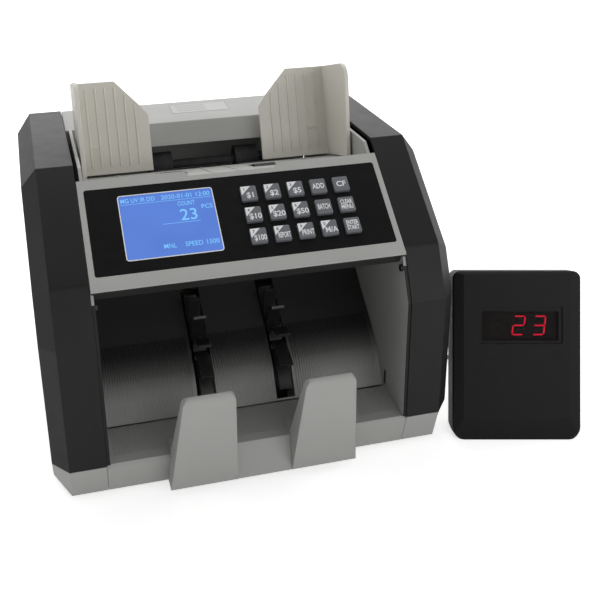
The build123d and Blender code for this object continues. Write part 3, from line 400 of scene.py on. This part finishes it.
charcoal = moulded("charcoal_moulding", (0.0095, 0.0095, 0.0098), 0.48, wear_and_highlight=2.6, specular=0.3)
display_charcoal = moulded("display_moulding", (0.0060, 0.0060, 0.0062), 0.45, wear_and_highlight=3.0,
                           specular=0.2)
light_grey = moulded("light_grey_moulding", (0.41, 0.41, 0.395), 0.5, wear_and_highlight=1.1, mottle=0.02)
arm_grey = moulded("soft_edged_moulding", (0.41, 0.41, 0.395), 0.45, wear_and_highlight=1.05, mottle=0.02,
                   edge=1.0 * MM)
# Painted shade: the stacker's back plate darkens towards the top in place of the throat's shadow.
throat_grey_painted_shade = grey_with_painted_shade("stacker_throat_painted_shade", (0.36, 0.36, 0.345), (0.020, 0.020, 0.020),
                          34 * MM, 58 * MM)
# Painted highlight: the guides' ribs and edges are lightened so that they look pale like lit ribs.
guide_white = streaked("guide_moulding", (0.70, 0.68, 0.61), 0.42, stretch=(1, 0.6, 30),
                       streak=0.02, edge=0.9 * MM, wear_and_highlight=1.38)
black_plastic = moulded("black_moulding", (0.016, 0.016, 0.016), 0.4, wear_and_highlight=2.0)
key_grey = moulded("key_moulding", (0.145, 0.152, 0.168), 0.45, grain=0.3 * MM, wear_and_highlight=2.0,
                   edge=0.35 * MM)
overlay_black = film("overlay_film", (0.002, 0.002, 0.0025), 0.38)
zinc_sheet = metal("zinc_sheet", (0.50, 0.51, 0.53), 0.42)
dark_screw = metal("blackened_screw", (0.060, 0.060, 0.062), 0.35, stretch=(1, 1, 1))
motor_paint = metal("motor_can", (0.17, 0.175, 0.18), 0.45, stretch=(25, 1, 1), metallic=0.8)
feed_rubber = rubber("feed_rubber", (0.030, 0.030, 0.032))
foot_rubber = rubber("foot_rubber", (0.020, 0.020, 0.020))
belt_rubber = rubber("belt_rubber", (0.018, 0.018, 0.018), roughness=0.65)
cord_jacket = rubber("cord_jacket", (0.20, 0.20, 0.20), roughness=0.5, grain=1.2 * MM)
nylon = streaked("natural_nylon", (0.62, 0.60, 0.54), 0.4, stretch=(1, 1, 4), streak=0.05)
solder_mask = circuit("solder_mask", (0.010, 0.085, 0.035))
lcd_blue = glowing("lcd_backlight", (0.102, 0.224, 0.700), 0.80)
lcd_ink = glowing("lcd_characters", (0.19, 0.52, 0.92), 0.95, variation=0.02)
lcd_white = ink("lcd_border_ink", (0.93, 0.94, 0.95))
digit_red = glowing("lit_segments", (1.0, 0.001, 0.040), 1.35, cell=1.5 * MM, variation=0.1)
digit_dark = ink("unlit_segments", (0.02, 0.012, 0.012))
window_red = smoked_window("smoked_acrylic")
legend_white = ink("legend_ink", (0.86, 0.87, 0.88))
legend_grey = ink("marking_ink", (0.12, 0.12, 0.12))
label_grey = ink("label_rules", (0.22, 0.22, 0.22))
label_paper = ink("label_paper", (0.47, 0.47, 0.46), roughness=0.4)
slot_black = moulded("slot_lining", (0.006, 0.006, 0.006), 0.6, wear_and_highlight=1.2)

node_materials = {
    charcoal: ["side_cover_left", "side_cover_right", "rear_panel", "adjusting_knob"],
    display_charcoal: ["display_front_shell", "display_back_shell", "display_stand"],
    light_grey: ["base_tray", "base_end_left", "base_end_right", "inner_wall_left",
                 "inner_wall_right", "panel_frame", "hopper_bed", "rear_top_cover", "rear_door"],
    arm_grey: ["stacker_arm_left", "stacker_arm_right"],
    throat_grey_painted_shade: ["stacker_back_plate"],
    guide_white: ["note_guide_left", "note_guide_right"],
    overlay_black: ["panel_overlay"],
    black_plastic: ["lcd_module", "power_inlet", "power_switch", "display_cord_grommet",
                    "stacker_wheels"],
    zinc_sheet: ["chassis_plate_left", "chassis_plate_right"],
    dark_screw: ["screws"],
    motor_paint: ["main_motor", "stacker_motor"],
    feed_rubber: ["pickup_roller", "feed_roller", "retard_roller"],
    foot_rubber: ["rubber_feet"],
    belt_rubber: ["drive_belt"],
    nylon: ["guide_pinion", "motor_pulley"],
    solder_mask: ["keypad_board", "main_board", "power_supply"],
    window_red: ["display_window"],
    key_grey: [name for name in frame["nodes"] if name.startswith("key_")],
    cord_jacket: ["display_cord", "display_cord_coil"],
}
weld_distance = 0.002 * MM
smooth_angle = radians(32)
facet_angle = radians(4)
facetted = ["display_front_shell"]


def dress_nodes():
    """Gives every CAD node its material and soft shading that keeps its real edges sharp."""
    for material, names in node_materials.items():
        for name in names:
            node = frame["nodes"][name]
            node.data.materials.clear()
            node.data.materials.append(material)
            node.data.shade_smooth()
            weld = node.modifiers.new("weld", "WELD")
            weld.merge_threshold = weld_distance
            split = node.modifiers.new("sharp_edges", "EDGE_SPLIT")
            split.split_angle = facet_angle if name in facetted else smooth_angle


def paint_shade_on_panel_underside():
    """Paints shade on the edge that the panel frame turns down over the throat: its downward faces
    get black plastic in place of the frame's grey.
    """
    mesh = frame["nodes"]["panel_frame"].data
    mesh.materials.append(black_plastic)
    downwards = -Vector(panel.col[1][:3])
    least_agreement = 0.95
    # Painted shade: faces turned downwards take the black material.
    for face in mesh.polygons:
        if face.normal.dot(downwards) > least_agreement:
            face.material_index = 1


dress_nodes()
paint_shade_on_panel_underside()


# ---------------------------------------------------------------- making pieces

def add_piece(name, vertices, faces, body, material):
    """A mesh piece in the row's frame that rides on one body."""
    mesh = bpy.data.meshes.new(name)
    mesh.from_pydata([tuple(v) for v in vertices], [], faces)
    mesh.validate()
    mesh.update()
    mesh.materials.append(material)
    piece = bpy.data.objects.new(name, mesh)
    scene.collection.objects.link(piece)
    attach(piece, body)
    return piece


class Relief:
    """Thin closed shapes gathered on one plane, to make one piece of."""

    def __init__(self, axes):
        self.axes = axes
        self.vertices = []
        self.faces = []

    def plate(self, outline, low, high):
        """A flat plate between two heights; its outline runs anticlockwise."""
        start, count = len(self.vertices), len(outline)
        for height in (low, high):
            self.vertices += [self.axes @ Vector((x, y, height)) for x, y in outline]
        self.faces.append([start + i for i in reversed(range(count))])
        self.faces.append([start + count + i for i in range(count)])
        for i in range(count):
            j = (i + 1) % count
            self.faces.append([start + i, start + j, start + count + j, start + count + i])

    def ring(self, outer, inner, low, high):
        """A flat ring between two outlines with the same number of points."""
        start, count = len(self.vertices), len(outer)
        for outline, height in ((outer, low), (outer, high), (inner, high), (inner, low)):
            self.vertices += [self.axes @ Vector((x, y, height)) for x, y in outline]
        for band in range(4):
            here, there = start + band * count, start + (band + 1) % 4 * count
            for i in range(count):
                j = (i + 1) % count
                self.faces.append([here + i, here + j, there + j, there + i])

    def text(self, words, x, y, height, low, thickness=0.04 * MM, align="CENTER", bold=0.0,
             wide=1.0, room=None):
        """Generic lettering whose middle line is at y, narrowed to the room it has."""
        capital_share = 0.70
        curve = bpy.data.curves.new("words", "FONT")
        curve.body = words
        curve.size = height / capital_share
        curve.align_x = align
        curve.offset = bold
        curve.resolution_u = 3
        curve.extrude = thickness / 2
        holder = bpy.data.objects.new("words", curve)
        scene.collection.objects.link(holder)
        bpy.context.view_layer.update()
        mesh = bpy.data.meshes.new_from_object(
            holder.evaluated_get(bpy.context.evaluated_depsgraph_get())
        )
        across = [vertex.co.x for vertex in mesh.vertices]
        if room:
            wide = min(wide, room / (max(across) - min(across)))
        start = len(self.vertices)
        for vertex in mesh.vertices:
            point = Vector((x + vertex.co.x * wide, y + vertex.co.y - height / 2,
                            low + thickness / 2 + vertex.co.z))
            self.vertices.append(self.axes @ point)
        self.faces += [[start + i for i in face.vertices] for face in mesh.polygons]
        bpy.data.objects.remove(holder)
        bpy.data.curves.remove(curve)
        bpy.data.meshes.remove(mesh)

    def piece(self, name, body, material):
        return add_piece(name, self.vertices, self.faces, body, material)


def rounded_rectangle(x, y, corner, steps=5):
    """Outline of a rectangle between pairs of limits, with round corners."""
    outline = []
    for cx, cy, start in ((x[1] - corner, y[1] - corner, 0), (x[0] + corner, y[1] - corner, 90),
                          (x[0] + corner, y[0] + corner, 180), (x[1] - corner, y[0] + corner, 270)):
        for step in range(steps + 1):
            angle = radians(start + 90 * step / steps)
            outline.append((cx + corner * cos(angle), cy + corner * sin(angle)))
    return outline


def bar(first, last, half):
    """Outline of a straight bar between two points."""
    run = Vector(last) - Vector(first)
    side = Vector((-run.y, run.x)).normalized() * half
    corners = (Vector(first) - side, Vector(last) - side, Vector(last) + side, Vector(first) + side)
    return [(c.x, c.y) for c in corners]


# ---------------------------------------------------------------- display cord

def coil_angles(first, last, step=24.0):
    """Evenly spaced angles in degrees, about a step apart."""
    count = round((last - first) / step)
    return [first + (last - first) * i / count for i in range(count + 1)]


def stepped(angle, steps):
    """Value that changes linearly over each (start angle, end angle, old value, new value)."""
    value = steps[0][2]
    for start, end, old, new in steps:
        if angle >= start:
            share = min(1.0, (angle - start) / (end - start))
            value = old + (new - old) * share
    return value


def coil_points(low, high):
    """Five and a half turns, two layers deep: outside to inside below, inside to outside above."""
    centre = (low + high) / 2
    pitch = 3.08 * MM
    middle = 16.9 * MM
    radii = [(365, 406, middle + pitch, middle), (725, 766, middle, middle - pitch),
             (1365, 1405, middle - pitch, middle), (1725, 1765, middle, middle + pitch)]
    heights = [(1045, 1085, 1.5 * MM, 4.55 * MM)]
    inside = 1 / cos(radians(12))
    points = []
    for angle in coil_angles(46.0, 2054.0):
        radius = stepped(angle, radii) * inside
        turned = radians(angle)
        points.append((centre.x + radius * cos(turned), centre.y + radius * sin(turned),
                       stepped(angle, heights)))
    return points


def make_cord():
    """One spline from the base's grommet through the coil and round to the display's back."""
    cord_radius, cord_floor = 1.5 * MM, 1.5
    exit_low, exit_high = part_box("display_cord_grommet")
    exit_point = ((exit_low.x + exit_high.x) / 2, exit_high.y, (exit_low.z + exit_high.z) / 2)
    to_coil = [(70.0, 133.0, 12.4), (71.6, 143.0, 7.0), (73.6, 152.0, 2.4)]
    from_coil = [
        (62.0, 130.0, 4.5), (73.0, 129.4, 2.4),
        (84.0, 129.5, cord_floor), (108.0, 131.5, cord_floor), (131.0, 130.0, cord_floor),
        (146.0, 117.0, cord_floor), (149.5, 92.0, cord_floor), (145.5, 60.0, cord_floor),
        (144.5, 28.0, cord_floor), (141.5, 2.0, cord_floor), (145.0, -16.0, cord_floor),
        (157.5, -23.4, cord_floor), (173.0, -18.6, cord_floor), (190.0, -21.0, cord_floor),
        (204.0, -36.0, cord_floor), (209.0, -56.0, cord_floor), (207.5, -74.0, cord_floor + 0.1),
        (201.3, -86.5, 2.6),
    ]
    outlet = display @ (Vector((25, 20, -27)) * MM)
    points = [exit_point]
    points += [tuple(MM * c for c in point) for point in to_coil]
    points += coil_points(*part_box("display_cord_coil"))
    points += [tuple(MM * c for c in point) for point in from_coil]
    points.append(tuple(outlet))
    curve = bpy.data.curves.new("display_lead", "CURVE")
    curve.dimensions = "3D"
    curve.bevel_depth = cord_radius
    curve.bevel_resolution = 4
    curve.resolution_u = 6
    spline = curve.splines.new("NURBS")
    spline.points.add(len(points) - 1)
    for point, place in zip(spline.points, points):
        point.co = (*place, 1.0)
    spline.order_u = 3
    spline.use_endpoint_u = True
    curve.materials.append(cord_jacket)
    piece = bpy.data.objects.new("display_lead", curve)
    scene.collection.objects.link(piece)
    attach(piece, "housing")
    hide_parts("display_cord", "display_cord_coil")


make_cord()


# ---------------------------------------------------------------- control panel

key_words = [
    [["$1"], ["$2"], ["$5"], ["ADD"], ["CF"]],
    [["$10"], ["$20"], ["$50"], ["BATCH"], ["CLEAR", "MENU"]],
    [["$100"], ["REPORT"], ["PRINT"], ["M/A"], ["ENTER", "START"]],
]
corner_numbers = ["123", "456", "7890"]
print_thickness = 0.05 * MM
key_face = Vector((4.5, 4.75)) * MM
legend_room = 7.4 * MM
legend_height, double_height = 3.6 * MM, 2.9 * MM
legend_bold = 0.11 * MM
legend_shift = Vector((0.8, -1.4)) * MM
line_pitch = 3.5 * MM
corner_size = 6.0 * MM
corner_digit, corner_bold, corner_ink = 1.9 * MM, 0.05 * MM, 0.02 * MM


def make_key_legends():
    """Words on every key, and a numbered corner on those that double as digits."""
    for row, names in enumerate(key_words):
        for column, lines in enumerate(names):
            key = f"key_{row + 1}_{column + 1}"
            low, high = local_box(key, panel)
            centre = (low + high) / 2
            top = high.z - 0.01 * MM
            numbered = column < len(corner_numbers[row])
            height = double_height if len(lines) == 2 else legend_height
            shift = legend_shift if numbered else Vector((0, 0))
            legend = Relief(panel)
            for number, line in enumerate(lines):
                rise = ((len(lines) - 1) / 2 - number) * line_pitch
                legend.text(line, centre.x + shift.x, centre.y + shift.y + rise, height, top,
                            print_thickness, bold=legend_bold, room=legend_room)
            legend.piece(f"{key}_legend", f"{key}_cap", legend_white)
            if not numbered:
                continue
            left, upper = centre.x - key_face.x, centre.y + key_face.y
            corner = Relief(panel)
            corner.plate([(left, upper), (left, upper - corner_size), (left + corner_size, upper)],
                         top, top + print_thickness)
            corner.piece(f"{key}_corner", f"{key}_cap", legend_white)
            digit = Relief(panel)
            digit.text(corner_numbers[row][column], left + corner_digit, upper - corner_digit,
                       corner_digit, top + print_thickness, corner_ink, bold=corner_bold)
            digit.piece(f"{key}_number", f"{key}_cap", legend_grey)


def make_lcd_graphics():
    """White border, lit glass and generic figures on the liquid-crystal display."""
    side_margin, end_margin = 3.0 * MM, 1.7 * MM
    border_out, border_in = 0.4 * MM, 0.15 * MM
    outer_corner, screen_corner, inner_corner = 1.8 * MM, 1.5 * MM, 1.3 * MM
    border_low, border_high = 0.02 * MM, 0.16 * MM
    rule_half = 0.12 * MM
    low, high = local_box("lcd_module", panel)
    left, right = low.x + side_margin, high.x - side_margin
    bottom, top = low.y + end_margin, high.y - end_margin
    glass = high.z + 0.08 * MM
    border = Relief(panel)
    border.ring(
        rounded_rectangle((left - border_out, right + border_out),
                          (bottom - border_out, top + border_out), outer_corner),
        rounded_rectangle((left + border_in, right - border_in),
                          (bottom + border_in, top - border_in), inner_corner),
        border_low, border_high,
    )
    border.piece("lcd_border", "housing", lcd_white)
    screen = Relief(panel)
    screen.plate(rounded_rectangle((left, right), (bottom, top), screen_corner), high.z, glass)
    screen.piece("lcd_glass", "housing", lcd_blue)
    width, height = right - left, top - bottom
    shown = Relief(panel)

    def write(words, x, y, size, room, bold=0.02 * MM):
        shown.text(words, left + x * width, bottom + y * height, size, glass, print_thickness,
                   align="LEFT", bold=bold, room=room * width)

    def rule(first, last, y):
        shown.plate(bar((left + first * width, bottom + y * height),
                        (left + last * width, bottom + y * height), rule_half),
                    glass, glass + print_thickness)

    write("MG UV IR DD", 0.02, 0.925, 2.9 * MM, 0.36)
    write("2020-01-01 12:00", 0.45, 0.925, 2.9 * MM, 0.52)
    rule(0.02, 0.98, 0.865)
    write("COUNT", 0.61, 0.80, 3.0 * MM, 0.185)
    write("PCS", 0.855, 0.72, 2.9 * MM, 0.12)
    write("23", 0.615, 0.62, 7.6 * MM, 0.205, bold=0.06 * MM)
    rule(0.425, 0.825, 0.50)
    write("MNL", 0.39, 0.16, 3.0 * MM, 0.13)
    write("SPEED", 0.615, 0.16, 3.0 * MM, 0.185)
    write("1500", 0.83, 0.16, 3.0 * MM, 0.13)
    shown.piece("lcd_characters", "housing", lcd_ink)


make_key_legends()
make_lcd_graphics()


# ---------------------------------------------------------------- external display digits

segment_places = {
    "a": ((0, 2), (1, 2)), "b": ((1, 2), (1, 1)), "c": ((1, 1), (1, 0)), "d": ((1, 0), (0, 0)),
    "e": ((0, 0), (0, 1)), "f": ((0, 1), (0, 2)), "g": ((0, 1), (1, 1)),
}
lit_segments = ["", "abged", "abgcd"]


def make_digits():
    """Three seven-segment figures on a board behind the window; the first one is unlit."""
    low, high = local_box("display_window", display)
    cell = (7.0 * MM, 5.9 * MM)
    slant = 0.13
    digit_pitch, digits_left, digits_low = 13.2 * MM, -42.2 * MM, 3.4 * MM
    segment_half, segment_gap, segment_tip = 0.42 * MM, 0.7 * MM, 0.4 * MM
    segment_low, segment_high = 0.02 * MM, 0.25 * MM
    board_margin, board_corner, board_thickness = 1.5 * MM, 0.5 * MM, 1.2 * MM
    window_gap = 1.2 * MM
    lit, dark, board = Relief(display), Relief(display), Relief(display)
    back = low.z - window_gap
    board.plate(rounded_rectangle((low.x - board_margin, high.x + board_margin),
                                  (low.y - board_margin, high.y + board_margin), board_corner),
                back - board_thickness, back)
    for place, shown in enumerate(lit_segments):
        left = high.x + digits_left + digit_pitch * place
        bottom = low.y + digits_low
        for name, ends in segment_places.items():
            corners = []
            for across, up in ends:
                x = left + across * cell[0] + up * cell[1] * slant
                corners.append(Vector((x, bottom + up * cell[1])))
            run = (corners[1] - corners[0]).normalized()
            side = Vector((-run.y, run.x)) * segment_half
            start, end = corners[0] + run * segment_gap, corners[1] - run * segment_gap
            hexagon = [start - run * segment_tip, start - side, end - side, end + run * segment_tip,
                       end + side, start + side]
            outline = [(c.x, c.y) for c in hexagon]
            group = lit if name in shown else dark
            group.plate(outline, back + segment_low, back + segment_high)
    board.piece("display_board", "housing", slot_black)
    lit.piece("display_digits_lit", "housing", digit_red)
    dark.piece("display_digits_unlit", "housing", digit_dark)


make_digits()


# ---------------------------------------------------------------- small details of the casing

def frame_line(relief, x, y, corner, width, low, high):
    """A thin printed line round a rectangle."""
    outer = rounded_rectangle(x, y, corner)
    inner = rounded_rectangle((x[0] + width, x[1] - width), (y[0] + width, y[1] - width),
                              corner - width)
    relief.ring(outer, inner, low, high)


def make_top_label():
    """Blank label with a thin border and plain rules on the rear top cover."""
    x, y = (-17 * MM, 23.5 * MM), (70.5 * MM, 90.5 * MM)
    corner, line_width = 1.2 * MM, 0.35 * MM
    rule_count, first_rule, rule_pitch, rule_half = 4, 4.2 * MM, 3.8 * MM, 0.3 * MM
    rule_left, rule_right = x[0] + 4 * MM, x[1] - 16 * MM
    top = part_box("rear_top_cover")[1].z
    label = Relief(level)
    label.plate(rounded_rectangle(x, y, corner), top + 0.005 * MM, top + 0.08 * MM)
    label.piece("top_label", "housing", label_paper)
    print_low, print_high = top + 0.07 * MM, top + 0.10 * MM
    border = Relief(level)
    frame_line(border, x, y, corner, line_width, print_low, print_high)
    for number in range(rule_count):
        height = y[1] - first_rule - rule_pitch * number
        border.plate(bar((rule_left, height), (rule_right, height), rule_half),
                     print_low, print_high)
    border.piece("top_label_rules", "housing", label_grey)


def make_stacker_ribs():
    """Fine ribs up the stacker's back plate, left out over the wheel slots, and on its floor."""
    low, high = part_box("stacker_back_plate")
    wheel_middle, wheel_room = 25 * MM, 7.0 * MM
    climb = [(-76.4, 25.3), (-63.8, 47.0), (-45.0, 61.6)]
    floor_run = [(-105.5, 24.3), (-78.0, 24.3)]
    pitch, half, root_depth, proud = 1.6 * MM, 0.42 * MM, 0.25 * MM, 0.28 * MM
    crown_share, bare_ends = 0.6, 6 * MM
    count = int((high.x - low.x - bare_ends) / pitch)
    # The ribs up the back plate carry its painted shade, darker towards the top; the floor ribs are
    # plain grey.
    for name, profile, material in (("stacker_ribs", climb, throat_grey_painted_shade),
                                    ("stacker_floor_ribs", floor_run, light_grey)):
        vertices, faces = [], []
        for number in range(count + 1):
            x = -count * pitch / 2 + number * pitch
            if profile is climb and abs(abs(x) - wheel_middle) < wheel_room:
                continue
            start = len(vertices)
            for index, (y, z) in enumerate(profile):
                before = Vector(profile[max(index - 1, 0)])
                after = Vector(profile[min(index + 1, len(profile) - 1)])
                along = (after - before).normalized()
                out = Vector((-along.y, along.x))
                root = Vector((y, z)) * MM - out * root_depth
                crown = root + out * (root_depth + proud)
                for point, width in ((root, half), (crown, half * crown_share)):
                    vertices += [(x - width, point.x, point.y), (x + width, point.x, point.y)]
            for index in range(len(profile) - 1):
                here, there = start + 4 * index, start + 4 * (index + 1)
                for i, j in ((0, 1), (1, 3), (3, 2), (2, 0)):
                    faces.append([here + i, here + j, there + j, there + i])
            end = start + 4 * (len(profile) - 1)
            faces.append([start, start + 2, start + 3, start + 1])
            faces.append([end, end + 1, end + 3, end + 2])
        add_piece(name, vertices, faces, "housing", material)


def make_pocket_lips_and_painted_shade():
    """Charcoal lips of the side covers over the front edges of the inner walls; their dark colour
    also paints the shade of the gap there.
    """
    cover_edge, proud = 91.95 * MM, 0.35 * MM
    wall_front = [(-113.7, 24.6), (-113.45, 104.0), (-103.4, 123.7)]
    wall = [(y * MM, z * MM) for y, z in wall_front]
    outline = wall + [(y - proud, z) for y, z in reversed(wall)]
    wall_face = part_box("stacker_back_plate")[1].x
    side_view = plane((0, 0, 0), (0, 1, 0), (1, 0, 0))
    for name, inner, outer in (("pocket_lip_left", -cover_edge, -wall_face),
                               ("pocket_lip_right", wall_face, cover_edge)):
        lip = Relief(side_view)
        lip.plate(outline, inner, outer)
        lip.piece(name, "housing", charcoal)


def make_sensor_slots():
    """Dark counting-sensor windows low on both inner walls of the stacker."""
    slot_low, slot_high, slot_half, corner = 27.5 * MM, 37.5 * MM, 1.6 * MM, 0.8 * MM
    slot_y, wall_face, proud = -79.5 * MM, 90.2 * MM, 0.12 * MM
    for side, name in ((-1, "sensor_slot_left"), (1, "sensor_slot_right")):
        slot = Relief(plane((side * wall_face, slot_y, 0), (0, -side, 0), (-side, 0, 0)))
        slot.plate(rounded_rectangle((-slot_half, slot_half), (slot_low, slot_high), corner),
                   0.0, proud)
        slot.piece(name, "housing", slot_black)


def make_knob_scale():
    """Tick marks with plus and minus signs round the feed-gap knob."""
    marks = Relief(knob)
    low, high = local_box("adjusting_knob", knob)
    seat = 0.02 * MM
    reach = (high.x - low.x) / 2
    tick_count, first_tick, tick_pitch = 9, radians(-30), radians(30)
    tick_gap, long_tick, short_tick, tick_half = 1.2 * MM, 2.2 * MM, 1.3 * MM, 0.18 * MM
    sign_gap, sign_height, sign_bold = 6.0 * MM, 3.0 * MM, 0.1 * MM
    pointer_start, pointer_end, pointer_half = 2.0 * MM, 4.6 * MM, 0.35 * MM
    room_below, room_above = 7 * MM, 10 * MM
    for number in range(tick_count):
        angle = first_tick + tick_pitch * number
        length = long_tick if number % 4 == 0 else short_tick
        inner = Vector((cos(angle), sin(angle))) * (reach + tick_gap)
        outer = inner + Vector((cos(angle), sin(angle))) * length
        if -room_below < outer.y < room_above:
            marks.plate(bar(inner, outer, tick_half), seat, seat + print_thickness)
    marks.text("+", reach + sign_gap, 0, sign_height, seat, bold=sign_bold)
    marks.text("-", -reach - sign_gap, 0, sign_height, seat, bold=sign_bold)
    marks.piece("knob_scale", "housing", legend_grey)
    pointer = Relief(knob)
    pointer.plate(bar((0, pointer_start), (0, pointer_end), pointer_half),
                  high.z, high.z + print_thickness)
    pointer.piece("knob_pointer", "knob", legend_white)


def make_rating_plate():
    """Blank plate with plain rules on the rear door."""
    door_face = 114.5 * MM
    plate_x, plate_z, corner = (38 * MM, 80 * MM), (105 * MM, 128 * MM), 1.5 * MM
    rule_left, first_rule, rule_pitch, rule_half = 41 * MM, 124 * MM, 3.6 * MM, 0.25 * MM
    print_low = door_face + 0.1 * MM
    print_high = print_low + 0.02 * MM
    plate = Relief(back_wall)
    plate.plate(rounded_rectangle(plate_x, plate_z, corner), door_face + 0.005 * MM, print_low)
    plate.piece("rating_plate", "door", label_paper)
    rules = Relief(back_wall)
    for number, length in enumerate((36, 30, 34, 24, 30)):
        height = first_rule - rule_pitch * number
        rules.plate(bar((rule_left, height), (rule_left + length * MM, height), rule_half),
                    print_low, print_high)
    rules.piece("rating_plate_rules", "door", label_grey)


def make_switch_marks():
    """A line and a ring on the rocker's two faces."""
    pivot = Vector(joint("power_switch_rock")["pos_m"])
    tilt = radians(10)
    out, up = Vector((0, cos(tilt), sin(tilt))), Vector((0, -sin(tilt), cos(tilt)))
    face_out, face_middle, face_rise = 4.9 * MM, 4.2 * MM, 1.0 / 8.4
    mark_reach, ring_hole, line_half, lift = 1.6 * MM, 1.1 * MM, 0.25 * MM, 0.01 * MM
    marks = Relief(back_wall)
    for side in (1, -1):
        normal = (out - up * side * face_rise).normalized()
        middle = pivot + out * (face_out + lift) + up * side * face_middle
        marks.axes = plane((middle_x("power_switch"), middle.y, middle.z), (-1, 0, 0), normal)
        if side > 0:
            marks.plate(bar((0, -mark_reach), (0, mark_reach), line_half), 0.0, print_thickness)
        else:
            edges = [rounded_rectangle((-radius, radius), (-radius, radius), radius - lift)
                     for radius in (mark_reach, ring_hole)]
            marks.ring(*edges, 0.0, print_thickness)
    marks.piece("switch_marks", "switch_rocker", legend_white)


make_top_label()
make_stacker_ribs()
make_pocket_lips_and_painted_shade()
make_sensor_slots()
make_knob_scale()
make_rating_plate()
make_switch_marks()


# ---------------------------------------------------------------- floor and light

def make_floor():
    """A round pale floor that glows a little, so that it stays white in view."""
    mesh = bpy.data.meshes.new("floor")
    count, reach = 64, 6.0
    glow_on_object, glow_in_view = 0.12, 0.60
    ring = [(reach * cos(2 * pi * i / count), reach * sin(2 * pi * i / count), 0)
            for i in range(count)]
    mesh.from_pydata(ring, [], [list(range(count))])
    material, tree, bsdf = shader("studio_floor")
    cloud = noise(tree, 0.8, detail=2.0)
    tint = blend_colours(tree, spread(tree, cloud, 0, 1), (0.90, 0.90, 0.90), (0.93, 0.93, 0.93))
    tree.links.new(tint, bsdf.inputs["Base Color"])
    bsdf.inputs["Roughness"].default_value = 0.9
    bsdf.inputs["Specular IOR Level"].default_value = 0.1
    bsdf.inputs["Emission Color"].default_value = (1.0, 1.0, 1.0, 1.0)
    rays = tree.nodes.new("ShaderNodeLightPath")
    glow = tree.nodes.new("ShaderNodeMapRange")
    glow.inputs["To Min"].default_value = glow_on_object
    glow.inputs["To Max"].default_value = glow_in_view
    tree.links.new(rays.outputs["Is Camera Ray"], glow.inputs["Value"])
    tree.links.new(glow.outputs["Result"], bsdf.inputs["Emission Strength"])
    mesh.materials.append(material)
    floor = bpy.data.objects.new("floor", mesh)
    scene.collection.objects.link(floor)


def add_softbox(name, place, aim, size, power):
    """A rectangular light at one place, aimed at another."""
    data = bpy.data.lights.new(name, "AREA")
    data.shape = "RECTANGLE"
    data.size, data.size_y = size
    data.energy = power
    light = bpy.data.objects.new(name, data)
    light.location = place
    light.rotation_mode = "QUATERNION"
    light.rotation_quaternion = (Vector(aim) - Vector(place)).to_track_quat("-Z", "Y")
    scene.collection.objects.link(light)


def light_scene():
    """A plain studio: a white world and five softboxes round the machine."""
    world = bpy.data.worlds.new("studio")
    world.use_nodes = True
    background = world.node_tree.nodes["Background"]
    background.inputs["Color"].default_value = (1.0, 1.0, 1.0, 1.0)
    background.inputs["Strength"].default_value = 0.33
    scene.world = world
    target = (0.03, -0.03, 0.09)
    add_softbox("top_light", (0.0, 0.9, 1.4), target, (1.8, 1.0), 12.0)
    add_softbox("back_light", (0.3, 1.9, 0.7), target, (3.0, 1.0), 15.0)
    add_softbox("right_light", (1.6, 0.1, 0.7), target, (0.9, 1.2), 8.0)
    add_softbox("left_light", (-1.6, 0.2, 0.8), target, (0.9, 1.2), 3.5)
    add_softbox("front_light", (0.6, -1.6, 0.75), target, (1.4, 0.8), 7.0)
    scene.view_settings.view_transform = "Standard"


make_floor()
light_scene()
